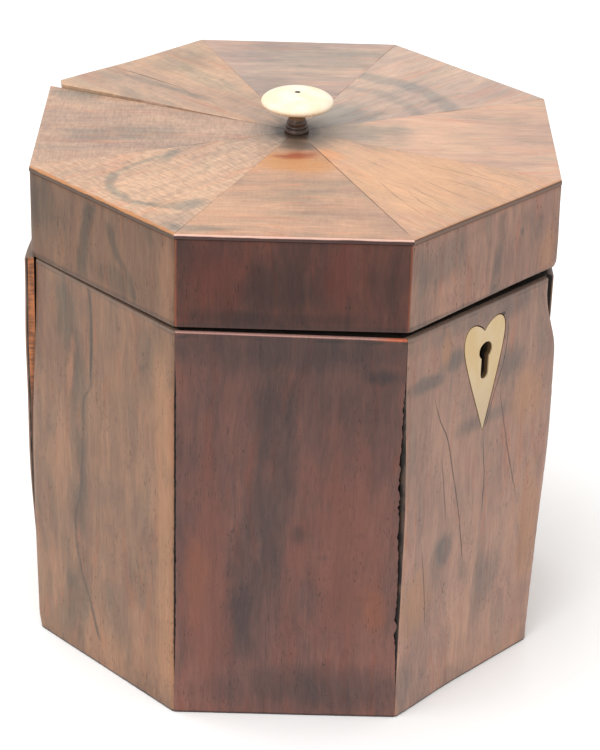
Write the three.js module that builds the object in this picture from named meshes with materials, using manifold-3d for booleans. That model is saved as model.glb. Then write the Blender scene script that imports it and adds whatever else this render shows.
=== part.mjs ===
// An octagonal tea caddy with a hinged lid, in millimetres, +Z up.
//
// The caddy stands on z = 0 with its octagon centred on the Z axis. The keyhole side faces -Y and
// the hinges are on the +Y side. Each side has a group of its own, turned about Z, in which the
// side faces -Y: "outward" below is that local -Y, and a side's pieces are drawn in that frame.
import * as THREE from "three";
import { mergeVertices } from "three/addons/utils/BufferGeometryUtils.js";
import Module from "manifold-3d";

const wasm = await Module();
wasm.setup();

// Octagon and heights
const SIDES = ["front", "front_right", "right", "back_right", "back", "back_left", "left", "front_left"];
const APOTHEM = 60; // half the width across the flats
const BODY_TOP_BACK = 102.3; // body edge at the hinges
const BODY_TOP_FRONT = 100.3; // body edge at the lock, where the lid no longer closes down
const LID_BOTTOM = 102.6;
const LID_TOP = 124.2;

// Thickness of the stock
const BOARD = 6.4;
const SIDE_VENEER = 1.4;
const TOP_VENEER = 1.2;
const TOP_BOARD = 6;
const BASE_BOARD = 6;
const FOIL = 0.5;
const GLUE_LINE = 0.1; // room left between pieces that are glued or screwed together
const REACH = 2; // how far a cutting tool runs past what it cuts

// Apothems of the layers, from the outside in
const VENEER_BACK = APOTHEM - SIDE_VENEER;
const BOARD_FACE = VENEER_BACK - GLUE_LINE;
const BOARD_BACK = BOARD_FACE - BOARD;
const FOIL_FACE = BOARD_BACK - GLUE_LINE;
const FOIL_BACK = FOIL_FACE - FOIL;
const TOP_VENEER_BOTTOM = LID_TOP - TOP_VENEER;
const TOP_BOARD_TOP = TOP_VENEER_BOTTOM - GLUE_LINE;
const TOP_BOARD_BOTTOM = TOP_BOARD_TOP - TOP_BOARD;
const LID_BOARD_TOP = TOP_BOARD_BOTTOM - GLUE_LINE;
const FOIL_TOP = 98.6;

// Keyhole and heart-shaped escutcheon, in the front side's frame
const KEYHOLE = { x: 2.3, z: 88.8, radius: 2.2, slotWidth: 2.6, bottom: 81.6 };
const HEART = { tip: [2.9, 68], left: [-5, 91.4], cleft: [1.6, 93.9], right: [8.5, 92.4] };
const HEART_GAP = 0.25; // line of old glue round the escutcheon

// Lock: an open tray let into the back of the front board, under a flat selvedge
const LOCK = { x: 1.8, plateHalf: 15.2, caseHalf: 12.4, plateBottom: 80, caseBottom: 83, top: 100.2 };
const LOCK_WALL = 1;
const LOCK_FACE = 57.3; // apothem of the tray's open face
const DRILL_PIN = { radius: 0.8, length: 4.6 };
const BOLT_THROW = 3.2;
const BOLT = { left: -10.3, right: 6, bottom: 91, top: 94, fingerBottom: 96, fingerTop: 98, post: 1.6 };
const BOLT_FACES = [-56.3, -54.3]; // y of the bolt's two faces
const BOLT_NOTCH = { left: -1.2, right: 2.2, depth: 1.4 }; // where the key's bit pushes
const STAPLES = [-4.5, 6]; // x of the link plate's two eyes, from the lock's middle
const STAPLE = { thick: 1.4, bottom: 94.5, outer: 57.1, inner: 53.5, eyeBottom: 95.4, eyeTop: 98.8 };
const STAPLE_WEB = 0.7; // metal each side of an eye
const BOLT_CLEARANCE = 0.5; // between a finger's tip and its eye while unlocked
const LINK_PLATE = { half: 13, outer: 57.2, inner: 53.2, thick: 1.2 };
const LOCK_SCREW = { x: 13.8, z: 86, head: 1.2, shank: 0.6, length: 4 };

// Hinges: a pair of three-knuckle butts, pins just outside the back
const HINGE_X = 12;
const HINGE_HALF = 7;
const KNUCKLE_HALF = 2.35; // half of the middle knuckle, which the lid's leaf has
const KNUCKLE_RADIUS = 1.5;
const PIN_RADIUS = 0.7;
const PIN_CLEARANCE = 0.07;
const HINGE_PIN = { y: -(APOTHEM + 1.7), z: 102.45 };
const LEAF_INNER = -53;
const LEAF_THICK = 1.15;
const LEAF_SPLIT = 0.7; // between the two closed leaves
const MOVING_GAP = 0.1;

// Knob: a bone lens on a turned stem
const CAP = { radius: 8.5, rimZ: 131.6, crown: 2.4, belly: 2 };
const STEM = { foot: 2.9, neck: 1.85, spigot: 1.6, spigotBottom: 118.4, top: 129.5 };
const KNOB_PIN = { radius: 0.6, bottom: 126.5, top: CAP.rimZ + CAP.crown - 0.05 };
const SPIGOT_CLEARANCE = 0.2;

const ROUND_STEPS = 32;
const STEP_ANGLE = (2 * Math.PI) / SIDES.length;
const CORNER_SLOPE = Math.tan(STEP_ANGLE / 2);

const FINISH = {
  redVeneer: { color: 0x5a241c, roughness: 0.35, metalness: 0 },
  tanVeneer: { color: 0x94603f, roughness: 0.4, metalness: 0 },
  rosyVeneer: { color: 0x8a5a4a, roughness: 0.4, metalness: 0 },
  topVeneer: { color: 0xa26a45, roughness: 0.35, metalness: 0 },
  carcass: { color: 0xa98a62, roughness: 0.75, metalness: 0 },
  bone: { color: 0xe9dcae, roughness: 0.35, metalness: 0 },
  stem: { color: 0x2a1a12, roughness: 0.35, metalness: 0 },
  foil: { color: 0x8d8c88, roughness: 0.5, metalness: 0.8 },
  brass: { color: 0x9c7a3c, roughness: 0.4, metalness: 0.9 },
  iron: { color: 0x4a4541, roughness: 0.5, metalness: 0.9 },
};
const SIDE_FINISH = { front: FINISH.rosyVeneer, front_left: FINISH.redVeneer };

// ---- solids ----

function toSolid(geometry) {
  const bare = geometry.clone();
  bare.deleteAttribute("normal");
  bare.deleteAttribute("uv");
  const merged = mergeVertices(bare, 1e-4);
  const mesh = new wasm.Mesh({
    numProp: 3,
    vertProperties: new Float32Array(merged.attributes.position.array),
    triVerts: new Uint32Array(merged.index.array),
  });
  return new wasm.Manifold(mesh);
}

function toGeometry(solid) {
  const mesh = solid.getMesh();
  const geometry = new THREE.BufferGeometry();
  geometry.setAttribute("position", new THREE.BufferAttribute(mesh.vertProperties, 3));
  geometry.setIndex(new THREE.BufferAttribute(mesh.triVerts, 1));
  geometry.computeVertexNormals();
  return geometry;
}

function join(...geometries) {
  const solids = geometries.map(toSolid);
  return toGeometry(solids.reduce((whole, piece) => whole.add(piece)));
}

function cut(geometry, ...tools) {
  return toGeometry(tools.reduce((rest, tool) => rest.subtract(toSolid(tool)), toSolid(geometry)));
}

function box([x0, x1], [y0, y1], [z0, z1]) {
  const geometry = new THREE.BoxGeometry(x1 - x0, y1 - y0, z1 - z0);
  return geometry.translate((x0 + x1) / 2, (y0 + y1) / 2, (z0 + z1) / 2);
}

// A cylinder from y0 to y1 along Y.
function barAlongY(radius, [x, z], [y0, y1]) {
  const bar = new THREE.CylinderGeometry(radius, radius, y1 - y0, ROUND_STEPS);
  return bar.translate(x, (y0 + y1) / 2, z);
}

// A cylinder from x0 to x1 along X.
function barAlongX(radius, [y, z], [x0, x1]) {
  const bar = new THREE.CylinderGeometry(radius, radius, x1 - x0, ROUND_STEPS);
  return bar.rotateZ(Math.PI / 2).translate((x0 + x1) / 2, y, z);
}

function barAlongZ(radius, [z0, z1]) {
  const bar = new THREE.CylinderGeometry(radius, radius, z1 - z0, ROUND_STEPS);
  return bar.rotateX(Math.PI / 2).translate(0, 0, (z0 + z1) / 2);
}

function upright(shape, [z0, z1]) {
  const geometry = new THREE.ExtrudeGeometry(shape, { depth: z1 - z0, bevelEnabled: false });
  return geometry.translate(0, 0, z0);
}

// A shape drawn in X and Z, given thickness from y0 to y1.
function standing(shape, [y0, y1]) {
  const geometry = new THREE.ExtrudeGeometry(shape, { depth: y1 - y0, bevelEnabled: false, curveSegments: 12 });
  return geometry.rotateX(Math.PI / 2).translate(0, y1, 0);
}

function polygon(points) {
  return new THREE.Shape(points.map(([x, y]) => new THREE.Vector2(x, y)));
}

// One eighth of an octagonal ring, between two apothems, mitred at both ends.
function mitredBoard([inner, outer], heights) {
  const half = (apothem) => apothem * CORNER_SLOPE - GLUE_LINE / 2 / Math.cos(STEP_ANGLE / 2);
  const plan = [
    [-half(outer), -outer],
    [half(outer), -outer],
    [half(inner), -inner],
    [-half(inner), -inner],
  ];
  return upright(polygon(plan), heights);
}

function octagon(apothem, heights) {
  const radius = apothem / Math.cos(STEP_ANGLE / 2);
  const corners = SIDES.map((_, i) => {
    const angle = (i + 0.5) * STEP_ANGLE;
    return [radius * Math.cos(angle), radius * Math.sin(angle)];
  });
  return upright(polygon(corners), heights);
}

function turned(profile) {
  const points = profile.map(([radius, z]) => new THREE.Vector2(radius, z));
  return new THREE.LatheGeometry(points, ROUND_STEPS).rotateX(Math.PI / 2);
}

function part(name, geometry, finish) {
  const mesh = new THREE.Mesh(geometry, new THREE.MeshStandardMaterial(finish));
  mesh.name = name;
  return mesh;
}

// ---- tools ----

// What lies above the body's sloping rim, in the frame of a side turned by angle.
function aboveRim(angle) {
  const middle = (BODY_TOP_BACK + BODY_TOP_FRONT) / 2;
  const slope = Math.atan((BODY_TOP_BACK - BODY_TOP_FRONT) / (2 * APOTHEM));
  const reach = 2 * APOTHEM;
  const tool = box([-reach, reach], [-reach, reach], [0, reach]);
  return tool.rotateX(slope).translate(0, 0, middle).rotateZ(-angle);
}

function keyholeTools(faces) {
  const { x, z, radius, slotWidth, bottom } = KEYHOLE;
  const half = slotWidth / 2;
  const footZ = bottom + half;
  return [
    barAlongY(radius, [x, z], faces),
    barAlongY(half, [x, footZ], faces),
    box([x - half, x + half], faces, [footZ, z]),
  ];
}

// The escutcheon's outline: two long sides up from the tip and two round lobes meeting in a cleft.
function heartShape() {
  const shape = new THREE.Shape();
  const { tip, left, cleft, right } = HEART;
  shape.moveTo(...tip);
  shape.bezierCurveTo(5, 76, 8.4, 87.6, ...right);
  shape.bezierCurveTo(8.6, 98, 4.2, 97.4, ...cleft);
  shape.bezierCurveTo(-1.6, 97.6, -5.3, 97, ...left);
  shape.bezierCurveTo(-4.6, 87, 0.6, 75, ...tip);
  return shape;
}

// The heart between two faces, grown all round by a margin. Its outline runs counter-clockwise.
function heart(faces, margin) {
  const outline = heartShape().getPoints(10).slice(0, -1);
  const grown = outline.map((point, i) => {
    const before = outline.at(i - 1);
    const after = outline[(i + 1) % outline.length];
    const along = after.clone().sub(before).normalize();
    return [point.x + along.y * margin, point.y - along.x * margin];
  });
  return standing(polygon(grown), faces);
}

// ---- case ----

const lockSpan = (half) => [LOCK.x - half, LOCK.x + half];

function lockRecess() {
  const plate = LOCK.plateHalf + GLUE_LINE;
  const tray = LOCK.caseHalf + GLUE_LINE;
  const back = -BOARD_BACK + REACH;
  const plateFace = -(BOARD_BACK + LOCK_WALL + GLUE_LINE);
  const trayFace = -(LOCK_FACE + GLUE_LINE);
  const above = LOCK.top + REACH;
  return [
    box(lockSpan(plate), [plateFace, back], [LOCK.plateBottom - GLUE_LINE, above]),
    box(lockSpan(tray), [trayFace, back], [LOCK.caseBottom - GLUE_LINE, above]),
    box(lockSpan(plate), [trayFace, back], [LOCK.top - LOCK_WALL - GLUE_LINE, above]),
  ];
}

function hingeNotch(x, heights) {
  const across = [x - HINGE_HALF - GLUE_LINE, x + HINGE_HALF + GLUE_LINE];
  return box(across, [-(APOTHEM + REACH), LEAF_INNER + GLUE_LINE], heights);
}

const bodyNotches = [-HINGE_X, HINGE_X].map((x) => {
  const bottom = HINGE_PIN.z - LEAF_SPLIT / 2 - LEAF_THICK - GLUE_LINE;
  return hingeNotch(x, [bottom, LID_BOTTOM]);
});
const lidNotches = [-HINGE_X, HINGE_X].map((x) => {
  const top = HINGE_PIN.z + LEAF_SPLIT / 2 + LEAF_THICK + GLUE_LINE;
  return hingeNotch(x, [BODY_TOP_BACK, top]);
});

function bodyBoard(side, angle) {
  const stock = mitredBoard([BOARD_BACK, BOARD_FACE], [0, LID_BOTTOM]);
  const tools = [aboveRim(angle)];
  if (side === "front") {
    tools.push(...lockRecess(), ...lockScrewHoles(), ...keyholeTools([-APOTHEM, -BOARD_BACK]));
  }
  if (side === "back") tools.push(...bodyNotches);
  return part("body_board_" + side, cut(stock, ...tools), FINISH.carcass);
}

function bodyVeneer(side, angle) {
  const stock = mitredBoard([VENEER_BACK, APOTHEM], [0, LID_BOTTOM]);
  const tools = [aboveRim(angle)];
  if (side === "front") tools.push(heart([-(APOTHEM + REACH), -BOARD_FACE], HEART_GAP));
  if (side === "back") tools.push(...bodyNotches);
  return part("body_veneer_" + side, cut(stock, ...tools), SIDE_FINISH[side] ?? FINISH.tanVeneer);
}

function escutcheon() {
  const blank = heart([-APOTHEM, -VENEER_BACK], 0);
  const holed = cut(blank, ...keyholeTools([-(APOTHEM + REACH), -BOARD_FACE]));
  return part("heart_escutcheon", holed, FINISH.bone);
}

function baseBoard() {
  return part("base_board", octagon(FOIL_FACE, [0, BASE_BOARD]), FINISH.carcass);
}

function foilLining() {
  const floor = BASE_BOARD + GLUE_LINE;
  const notch = LOCK.plateHalf + GLUE_LINE;
  const shell = cut(
    octagon(FOIL_FACE, [floor, FOIL_TOP]),
    octagon(FOIL_BACK, [floor + FOIL, FOIL_TOP + REACH]),
    box(lockSpan(notch), [-APOTHEM, -FOIL_BACK + REACH], [LOCK.plateBottom - GLUE_LINE, FOIL_TOP + REACH]),
  );
  return part("foil_lining", shell, FINISH.foil);
}

// ---- lock ----

function stapleSlot(x) {
  const room = 0.4;
  const across = [LOCK.x + x - STAPLE.thick / 2 - room, LOCK.x + x + STAPLE.thick / 2 + room];
  return box(across, [-LOCK_FACE, -STAPLE.inner + room], [LOCK.top - REACH, LOCK.top + REACH]);
}

function lockCase() {
  const back = [-(BOARD_BACK + LOCK_WALL), -BOARD_BACK];
  const depth = [-LOCK_FACE, -BOARD_BACK];
  const { caseHalf, plateHalf, caseBottom, plateBottom, top } = LOCK;
  const inside = caseHalf - LOCK_WALL;
  const shelf = [BOLT.bottom - 1.1, BOLT.bottom - 0.2];
  const pinRoot = -(BOARD_BACK + LOCK_WALL / 2);
  const shell = join(
    box(lockSpan(plateHalf), back, [plateBottom, top]),
    box(lockSpan(plateHalf), depth, [top - LOCK_WALL, top]),
    box([LOCK.x - caseHalf, LOCK.x - inside], depth, [caseBottom, top]),
    box([LOCK.x + inside, LOCK.x + caseHalf], depth, [caseBottom, top]),
    box(lockSpan(caseHalf), depth, [caseBottom, caseBottom + LOCK_WALL]),
    box([LOCK.x - inside - LOCK_WALL / 2, LOCK.x - 9], depth, shelf),
    box([LOCK.x + 6.5, LOCK.x + inside + LOCK_WALL / 2], depth, shelf),
    barAlongY(DRILL_PIN.radius, [KEYHOLE.x, KEYHOLE.z], [pinRoot - DRILL_PIN.length, pinRoot]),
  );
  const cased = cut(shell, ...STAPLES.map(stapleSlot), ...lockScrewHoles());
  return part("lock_case", cased, FINISH.brass);
}

const screwSides = { left: -1, right: 1 };

function lockScrewHoles() {
  return Object.values(screwSides).flatMap((side) => {
    const place = [LOCK.x + side * LOCK_SCREW.x, LOCK_SCREW.z];
    const shank = LOCK_SCREW.shank + GLUE_LINE;
    const deep = -(BOARD_BACK + LOCK_SCREW.length + GLUE_LINE);
    const sink = -(BOARD_BACK + LOCK_WALL * 0.6 + GLUE_LINE);
    return [
      barAlongY(shank, place, [deep, -BOARD_BACK + REACH]),
      barAlongY(LOCK_SCREW.head + GLUE_LINE, place, [sink, -BOARD_BACK + REACH]),
    ];
  });
}

function lockScrew(name) {
  const place = [LOCK.x + screwSides[name] * LOCK_SCREW.x, LOCK_SCREW.z];
  const headBack = -(BOARD_BACK + LOCK_WALL * 0.6);
  const [x, z] = place;
  const blank = join(
    barAlongY(LOCK_SCREW.head, place, [headBack, -BOARD_BACK]),
    barAlongY(LOCK_SCREW.shank, place, [-(BOARD_BACK + LOCK_SCREW.length), headBack + LOCK_WALL / 4]),
  );
  const slot = box([x - 2, x + 2], [-BOARD_BACK - 0.3, -BOARD_BACK + REACH], [z - 0.2, z + 0.2]);
  return part("lock_screw_" + name, cut(blank, slot), FINISH.brass);
}

// A flat strip spring that bears up on the bolt from the tray's wall.
function lockSpring() {
  const thick = 0.5;
  const low = new THREE.QuadraticBezierCurve(
    new THREE.Vector2(-11.2, 85),
    new THREE.Vector2(-8, 91.6),
    new THREE.Vector2(-3.8, 89.4),
  ).getPoints(10);
  const high = low.map((point) => new THREE.Vector2(point.x, point.y + thick)).reverse();
  const outline = [...low, ...high].map((point) => [point.x + LOCK.x, point.y]);
  return part("lock_spring", standing(polygon(outline), BOLT_FACES), FINISH.iron);
}

function lockBolt() {
  const at = (x) => LOCK.x + x;
  const bar = box([at(BOLT.left), at(BOLT.right)], BOLT_FACES, [BOLT.bottom, BOLT.top]);
  const hooks = STAPLES.flatMap((x) => {
    const tip = x - STAPLE.thick / 2 - BOLT_CLEARANCE;
    const post = tip - BOLT_THROW + BOLT_CLEARANCE / 2;
    return [
      box([at(post - BOLT.post), at(post)], BOLT_FACES, [BOLT.top - 1, BOLT.fingerTop]),
      box([at(post - 1), at(tip)], BOLT_FACES, [BOLT.fingerBottom, BOLT.fingerTop]),
    ];
  });
  const notchTop = BOLT.bottom + BOLT_NOTCH.depth;
  const notch = box(
    [at(BOLT_NOTCH.left), at(BOLT_NOTCH.right)],
    [BOLT_FACES[0] - REACH, BOLT_FACES[1] + REACH],
    [BOLT.bottom - REACH, notchTop],
  );
  return part("lock_bolt", cut(join(bar, ...hooks), notch), FINISH.brass);
}

function linkPlate() {
  const plateHeights = [LID_BOTTOM + GLUE_LINE, LID_BOTTOM + GLUE_LINE + LINK_PLATE.thick];
  const plate = box(lockSpan(LINK_PLATE.half), [-LINK_PLATE.outer, -LINK_PLATE.inner], plateHeights);
  const tongues = [];
  const eyes = [];
  for (const x of STAPLES) {
    const across = [LOCK.x + x - STAPLE.thick / 2, LOCK.x + x + STAPLE.thick / 2];
    tongues.push(box(across, [-STAPLE.outer, -STAPLE.inner], [STAPLE.bottom, plateHeights[1]]));
    eyes.push(
      box(
        [across[0] - REACH, across[1] + REACH],
        [-STAPLE.outer + STAPLE_WEB, -STAPLE.inner - STAPLE_WEB],
        [STAPLE.eyeBottom, STAPLE.eyeTop],
      ),
    );
  }
  return part("link_plate", cut(join(plate, ...tongues), ...eyes), FINISH.brass);
}

// ---- hinges ----

function hingeLeaf(name, x, heights, isLidLeaf) {
  const inward = LEAF_INNER;
  const edge = -(APOTHEM - GLUE_LINE);
  const middle = [x - KNUCKLE_HALF, x + KNUCKLE_HALF];
  const ends = [
    [x - HINGE_HALF, x - KNUCKLE_HALF - MOVING_GAP],
    [x + KNUCKLE_HALF + MOVING_GAP, x + HINGE_HALF],
  ];
  const spans = isLidLeaf ? [middle] : ends;
  const knuckles = spans.flatMap((span) => [
    box(span, [HINGE_PIN.y, edge + 1], heights),
    barAlongX(KNUCKLE_RADIUS, [HINGE_PIN.y, HINGE_PIN.z], span),
  ]);
  const flap = box([x - HINGE_HALF, x + HINGE_HALF], [edge, inward], heights);
  const bore = barAlongX(PIN_RADIUS + PIN_CLEARANCE, [HINGE_PIN.y, HINGE_PIN.z], [x - HINGE_HALF - 1, x + HINGE_HALF + 1]);
  return part(name, cut(join(flap, ...knuckles), bore), FINISH.brass);
}

function hingePieces(name, x) {
  const bodyTop = HINGE_PIN.z - LEAF_SPLIT / 2;
  const lidBottom = HINGE_PIN.z + LEAF_SPLIT / 2;
  const pinSpan = [x - HINGE_HALF, x + HINGE_HALF];
  return [
    hingeLeaf(name + "_body_leaf", x, [bodyTop - LEAF_THICK, bodyTop], false),
    hingeLeaf(name + "_lid_leaf", x, [lidBottom, lidBottom + LEAF_THICK], true),
    part(name + "_pin", barAlongX(PIN_RADIUS, [HINGE_PIN.y, HINGE_PIN.z], pinSpan), FINISH.iron),
  ];
}

// ---- lid ----

function lidBoard(side) {
  const stock = mitredBoard([BOARD_BACK, BOARD_FACE], [LID_BOTTOM, LID_BOARD_TOP]);
  const tools = [];
  if (side === "back") tools.push(...lidNotches);
  if (side === "front") {
    const room = GLUE_LINE;
    const across = lockSpan(LINK_PLATE.half + room);
    const depth = [-(LINK_PLATE.outer + room), -(LINK_PLATE.inner - room)];
    tools.push(box(across, depth, [LID_BOTTOM - REACH, LID_BOTTOM + LINK_PLATE.thick + 2 * room]));
  }
  return part("lid_board_" + side, cut(stock, ...tools), FINISH.carcass);
}

function lidVeneer(side) {
  const stock = mitredBoard([VENEER_BACK, APOTHEM], [LID_BOTTOM, TOP_BOARD_TOP]);
  const shaped = side === "back" ? cut(stock, ...lidNotches) : stock;
  return part("lid_veneer_" + side, shaped, SIDE_FINISH[side] ?? FINISH.tanVeneer);
}

function topVeneer(side) {
  const wedge = mitredBoard([1, APOTHEM], [TOP_VENEER_BOTTOM, LID_TOP]);
  const hole = barAlongZ(STEM.spigot + SPIGOT_CLEARANCE, [TOP_BOARD_BOTTOM, LID_TOP + REACH]);
  return part("top_veneer_" + side, cut(wedge, hole), FINISH.topVeneer);
}

function lidTopBoard() {
  const hole = barAlongZ(STEM.spigot + SPIGOT_CLEARANCE, [STEM.spigotBottom - 0.4, LID_TOP]);
  const board = octagon(BOARD_FACE, [TOP_BOARD_BOTTOM, TOP_BOARD_TOP]);
  return part("lid_top_board", cut(board, hole), FINISH.carcass);
}

function lidLining() {
  const bottom = LID_BOTTOM + 2.4;
  const top = TOP_BOARD_BOTTOM - GLUE_LINE;
  const shell = cut(
    octagon(FOIL_FACE, [bottom, top]),
    octagon(FOIL_BACK, [bottom - REACH, top - FOIL]),
  );
  return part("lid_lining", shell, FINISH.foil);
}

// ---- knob ----

function knobCap() {
  const hole = KNOB_PIN.radius + GLUE_LINE;
  const lens = (angle) => {
    const rise = angle < 0 ? CAP.belly : CAP.crown;
    return [CAP.radius * Math.cos(angle), CAP.rimZ + rise * Math.sin(angle)];
  };
  const steps = 16;
  const start = -Math.acos((STEM.neck + 0.3) / CAP.radius);
  const end = Math.acos(hole / CAP.radius);
  const curve = [];
  for (let i = 0; i <= steps; i += 1) curve.push(lens(start + ((end - start) * i) / steps));
  const bottom = curve[0][1];
  const profile = [[hole, bottom], ...curve, [hole, bottom]];
  return part("knob_cap", turned(profile), FINISH.bone);
}

function knobStem() {
  const z = LID_TOP + GLUE_LINE;
  const { foot, neck, spigot, spigotBottom, top } = STEM;
  const hole = KNOB_PIN.radius + GLUE_LINE;
  const profile = [
    [0, spigotBottom],
    [spigot, spigotBottom],
    [spigot, z],
    [foot, z],
    [foot, z + 0.5],
    [foot - 0.3, z + 0.8],
    [foot - 0.1, z + 1.2],
    [foot - 0.1, z + 1.5],
    [foot - 0.6, z + 1.8],
    [foot - 0.5, z + 2.2],
    [neck + 0.25, z + 2.7],
    [neck, z + 3.6],
    [neck + 0.1, top],
    [hole, top],
    [hole, KNOB_PIN.bottom - GLUE_LINE],
    [0, KNOB_PIN.bottom - GLUE_LINE],
  ];
  return part("knob_stem", turned(profile), FINISH.stem);
}

function knobPin() {
  return part("knob_pin", barAlongZ(KNOB_PIN.radius, [KNOB_PIN.bottom, KNOB_PIN.top]), FINISH.stem);
}

// ---- assembly ----

const caddy = new THREE.Group();
caddy.add(baseBoard(), foilLining(), lidTopBoard(), lidLining(), knobCap(), knobStem(), knobPin());

SIDES.forEach((side, i) => {
  const angle = i * STEP_ANGLE;
  const group = new THREE.Group();
  group.rotation.z = angle;
  group.add(bodyBoard(side, angle), bodyVeneer(side, angle));
  group.add(lidBoard(side), lidVeneer(side), topVeneer(side));
  if (side === "front") {
    group.add(escutcheon(), lockCase(), lockSpring(), lockBolt(), linkPlate());
    group.add(lockScrew("left"), lockScrew("right"));
  }
  if (side === "back") {
    group.add(...hingePieces("hinge_left", HINGE_X), ...hingePieces("hinge_right", -HINGE_X));
  }
  caddy.add(group);
});

export default caddy;
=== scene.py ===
"""An old octagonal tea caddy: figured veneers, bone fittings and brasswork built round its fixed frame.

The case's eight sides each have a frame of their own, turned about Z, in which the side faces -Y.
A side's veneers are drawn in that frame in millimetres and turned into place.
"""

import math
from functools import cache

import bmesh
import bpy
from mathutils import Matrix, Vector, noise


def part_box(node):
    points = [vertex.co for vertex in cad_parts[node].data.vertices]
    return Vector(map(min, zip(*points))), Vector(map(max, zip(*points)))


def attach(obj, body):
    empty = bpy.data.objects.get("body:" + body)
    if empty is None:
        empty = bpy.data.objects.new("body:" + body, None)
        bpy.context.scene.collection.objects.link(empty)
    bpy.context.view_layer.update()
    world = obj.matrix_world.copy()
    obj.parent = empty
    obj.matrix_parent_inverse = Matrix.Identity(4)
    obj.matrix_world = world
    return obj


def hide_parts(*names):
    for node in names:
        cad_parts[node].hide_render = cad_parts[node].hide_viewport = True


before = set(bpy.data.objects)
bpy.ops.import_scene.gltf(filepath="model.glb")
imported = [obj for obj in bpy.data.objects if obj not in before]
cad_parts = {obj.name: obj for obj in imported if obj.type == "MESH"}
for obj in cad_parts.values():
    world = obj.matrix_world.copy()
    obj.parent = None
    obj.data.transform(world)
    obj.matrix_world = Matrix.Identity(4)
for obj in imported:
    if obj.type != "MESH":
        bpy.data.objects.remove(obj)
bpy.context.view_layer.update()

bl_info = {
    "name": "Octagonal Tea Caddy",
    "version": (1, 0, 0),
    "blender": (4, 5, 0),
    "location": "View3D > Sidebar > Tea Caddy",
    "description": "Finishes an octagonal veneered tea caddy round its fixed frame",
    "category": "Add Mesh",
}

MM = 0.001
SIDES = ("front", "front_right", "right", "back_right", "back", "back_left", "left", "front_left")
TURN = 2 * math.pi / len(SIDES)
MITRE = math.tan(TURN / 2)

SHARP_ANGLE = math.radians(38)

# The figure of the sides that aren't tan
SIDE_FIGURE = {"front": "rosy", "front_left": "red"}
# How far each side veneer stops short of a corner's mitre, in millimetres
MITRE_GAP = 0.08
# How many millimetres more than its neighbours a side has been scraped down, which widens it
SCRAPED = {"front_left": 0.75}


@cache
def node_box(node):
    """The lowest and highest corners of a CAD node, in millimetres."""
    low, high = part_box(node)
    return Vector(low) / MM, Vector(high) / MM


@cache
def face_apothem():
    """The distance from the middle to the front veneer's face."""
    return -node_box("body_veneer_front")[0].y


def outer_face(side):
    """The distance from the middle to one side's face."""
    return face_apothem() - SCRAPED.get(side, 0.0)


def corner_reach(side, end):
    """How far a side's face runs from its own middle to the corner at one end, -1 or 1."""
    neighbour = SIDES[(SIDES.index(side) + end) % len(SIDES)]
    return outer_face(neighbour) * math.sqrt(2) - outer_face(side)


@cache
def rim_slope():
    """The height of the body's rim in the middle, and its rise for each millimetre towards the back."""
    front = node_box("body_veneer_front")[1].z
    back = node_box("body_veneer_back")[1].z
    return (front + back) / 2, (back - front) / (2 * face_apothem())


def rim_height(x, y, turn):
    """The height of the body's sloping rim at a place in the frame of a side."""
    middle, rise = rim_slope()
    return middle + rise * (x * math.sin(turn) + y * math.cos(turn))


# ---- sizes and colours a user would change ----


def length_property(name, description, default):
    return bpy.props.FloatProperty(name=name, description=description, default=default, unit="LENGTH")


def colour_property(name, description, default):
    return bpy.props.FloatVectorProperty(
        name=name, description=description, default=default, subtype="COLOR", size=3, min=0, max=1
    )


class CaddySizes(bpy.types.PropertyGroup):
    """Sizes of the finish, in metres."""

    arris: length_property("Arris", "Radius of a veneer's worn edge", 0.00035)
    wobble: length_property("Hand planing", "Depth of the waves in a planed face", 0.00007)
    corner_split: length_property("Corner split", "Widest part of the open split in the corner", 0.0017)
    loose_edge: length_property("Loose edge", "How far the loose side veneer has sprung out", 0.0021)
    lifted_tip: length_property("Lifted tip", "How far the loose top veneer stands up", 0.0008)


class CaddyColours(bpy.types.PropertyGroup):
    """The finishes' colours."""

    tan_light: colour_property("Tan veneer, light", "Light figure, tan sides", (0.27, 0.145, 0.086))
    tan_dark: colour_property("Tan veneer, dark", "Dark figure, tan sides", (0.15, 0.083, 0.056))
    rosy_light: colour_property("Rosy veneer, light", "Light figure, keyhole side", (0.31, 0.177, 0.125))
    rosy_dark: colour_property("Rosy veneer, dark", "Dark figure, keyhole side", (0.19, 0.112, 0.089))
    red_light: colour_property("Red veneer, light", "Light figure, dark red side", (0.125, 0.054, 0.041))
    red_dark: colour_property("Red veneer, dark", "Dark figure, dark red side", (0.062, 0.032, 0.028))
    top_light: colour_property("Top veneer, light", "Light figure, top", (0.56, 0.34, 0.215))
    top_dark: colour_property("Top veneer, dark", "Dark figure, top", (0.36, 0.225, 0.165))
    smoke: colour_property("Smoky stain", "What grey stain leaves of the colour", (0.56, 0.69, 0.77))
    raw_edge: colour_property("Raw edge", "Bare wood at a broken or worn edge", (0.42, 0.14, 0.045))
    glue: colour_property("Old glue", "Dark glue and dirt in the splits", (0.012, 0.008, 0.006))
    carcass: colour_property("Carcass", "Softwood boards", (0.33, 0.20, 0.10))
    bone: colour_property("Bone", "Escutcheon and knob", (0.80, 0.72, 0.52))
    stem: colour_property("Knob stem", "Turned dark stem", (0.035, 0.018, 0.011))
    brass: colour_property("Brass", "Lock and hinges", (0.50, 0.34, 0.13))
    iron: colour_property("Iron", "Pins, spring and screws", (0.16, 0.15, 0.14))
    foil: colour_property("Lead foil", "Linings", (0.34, 0.34, 0.33))


# ---- shader building ----

SHADER_SOCKETS = {"metallic": "Metallic", "specular_ior_level": "Specular IOR Level"}


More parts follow.
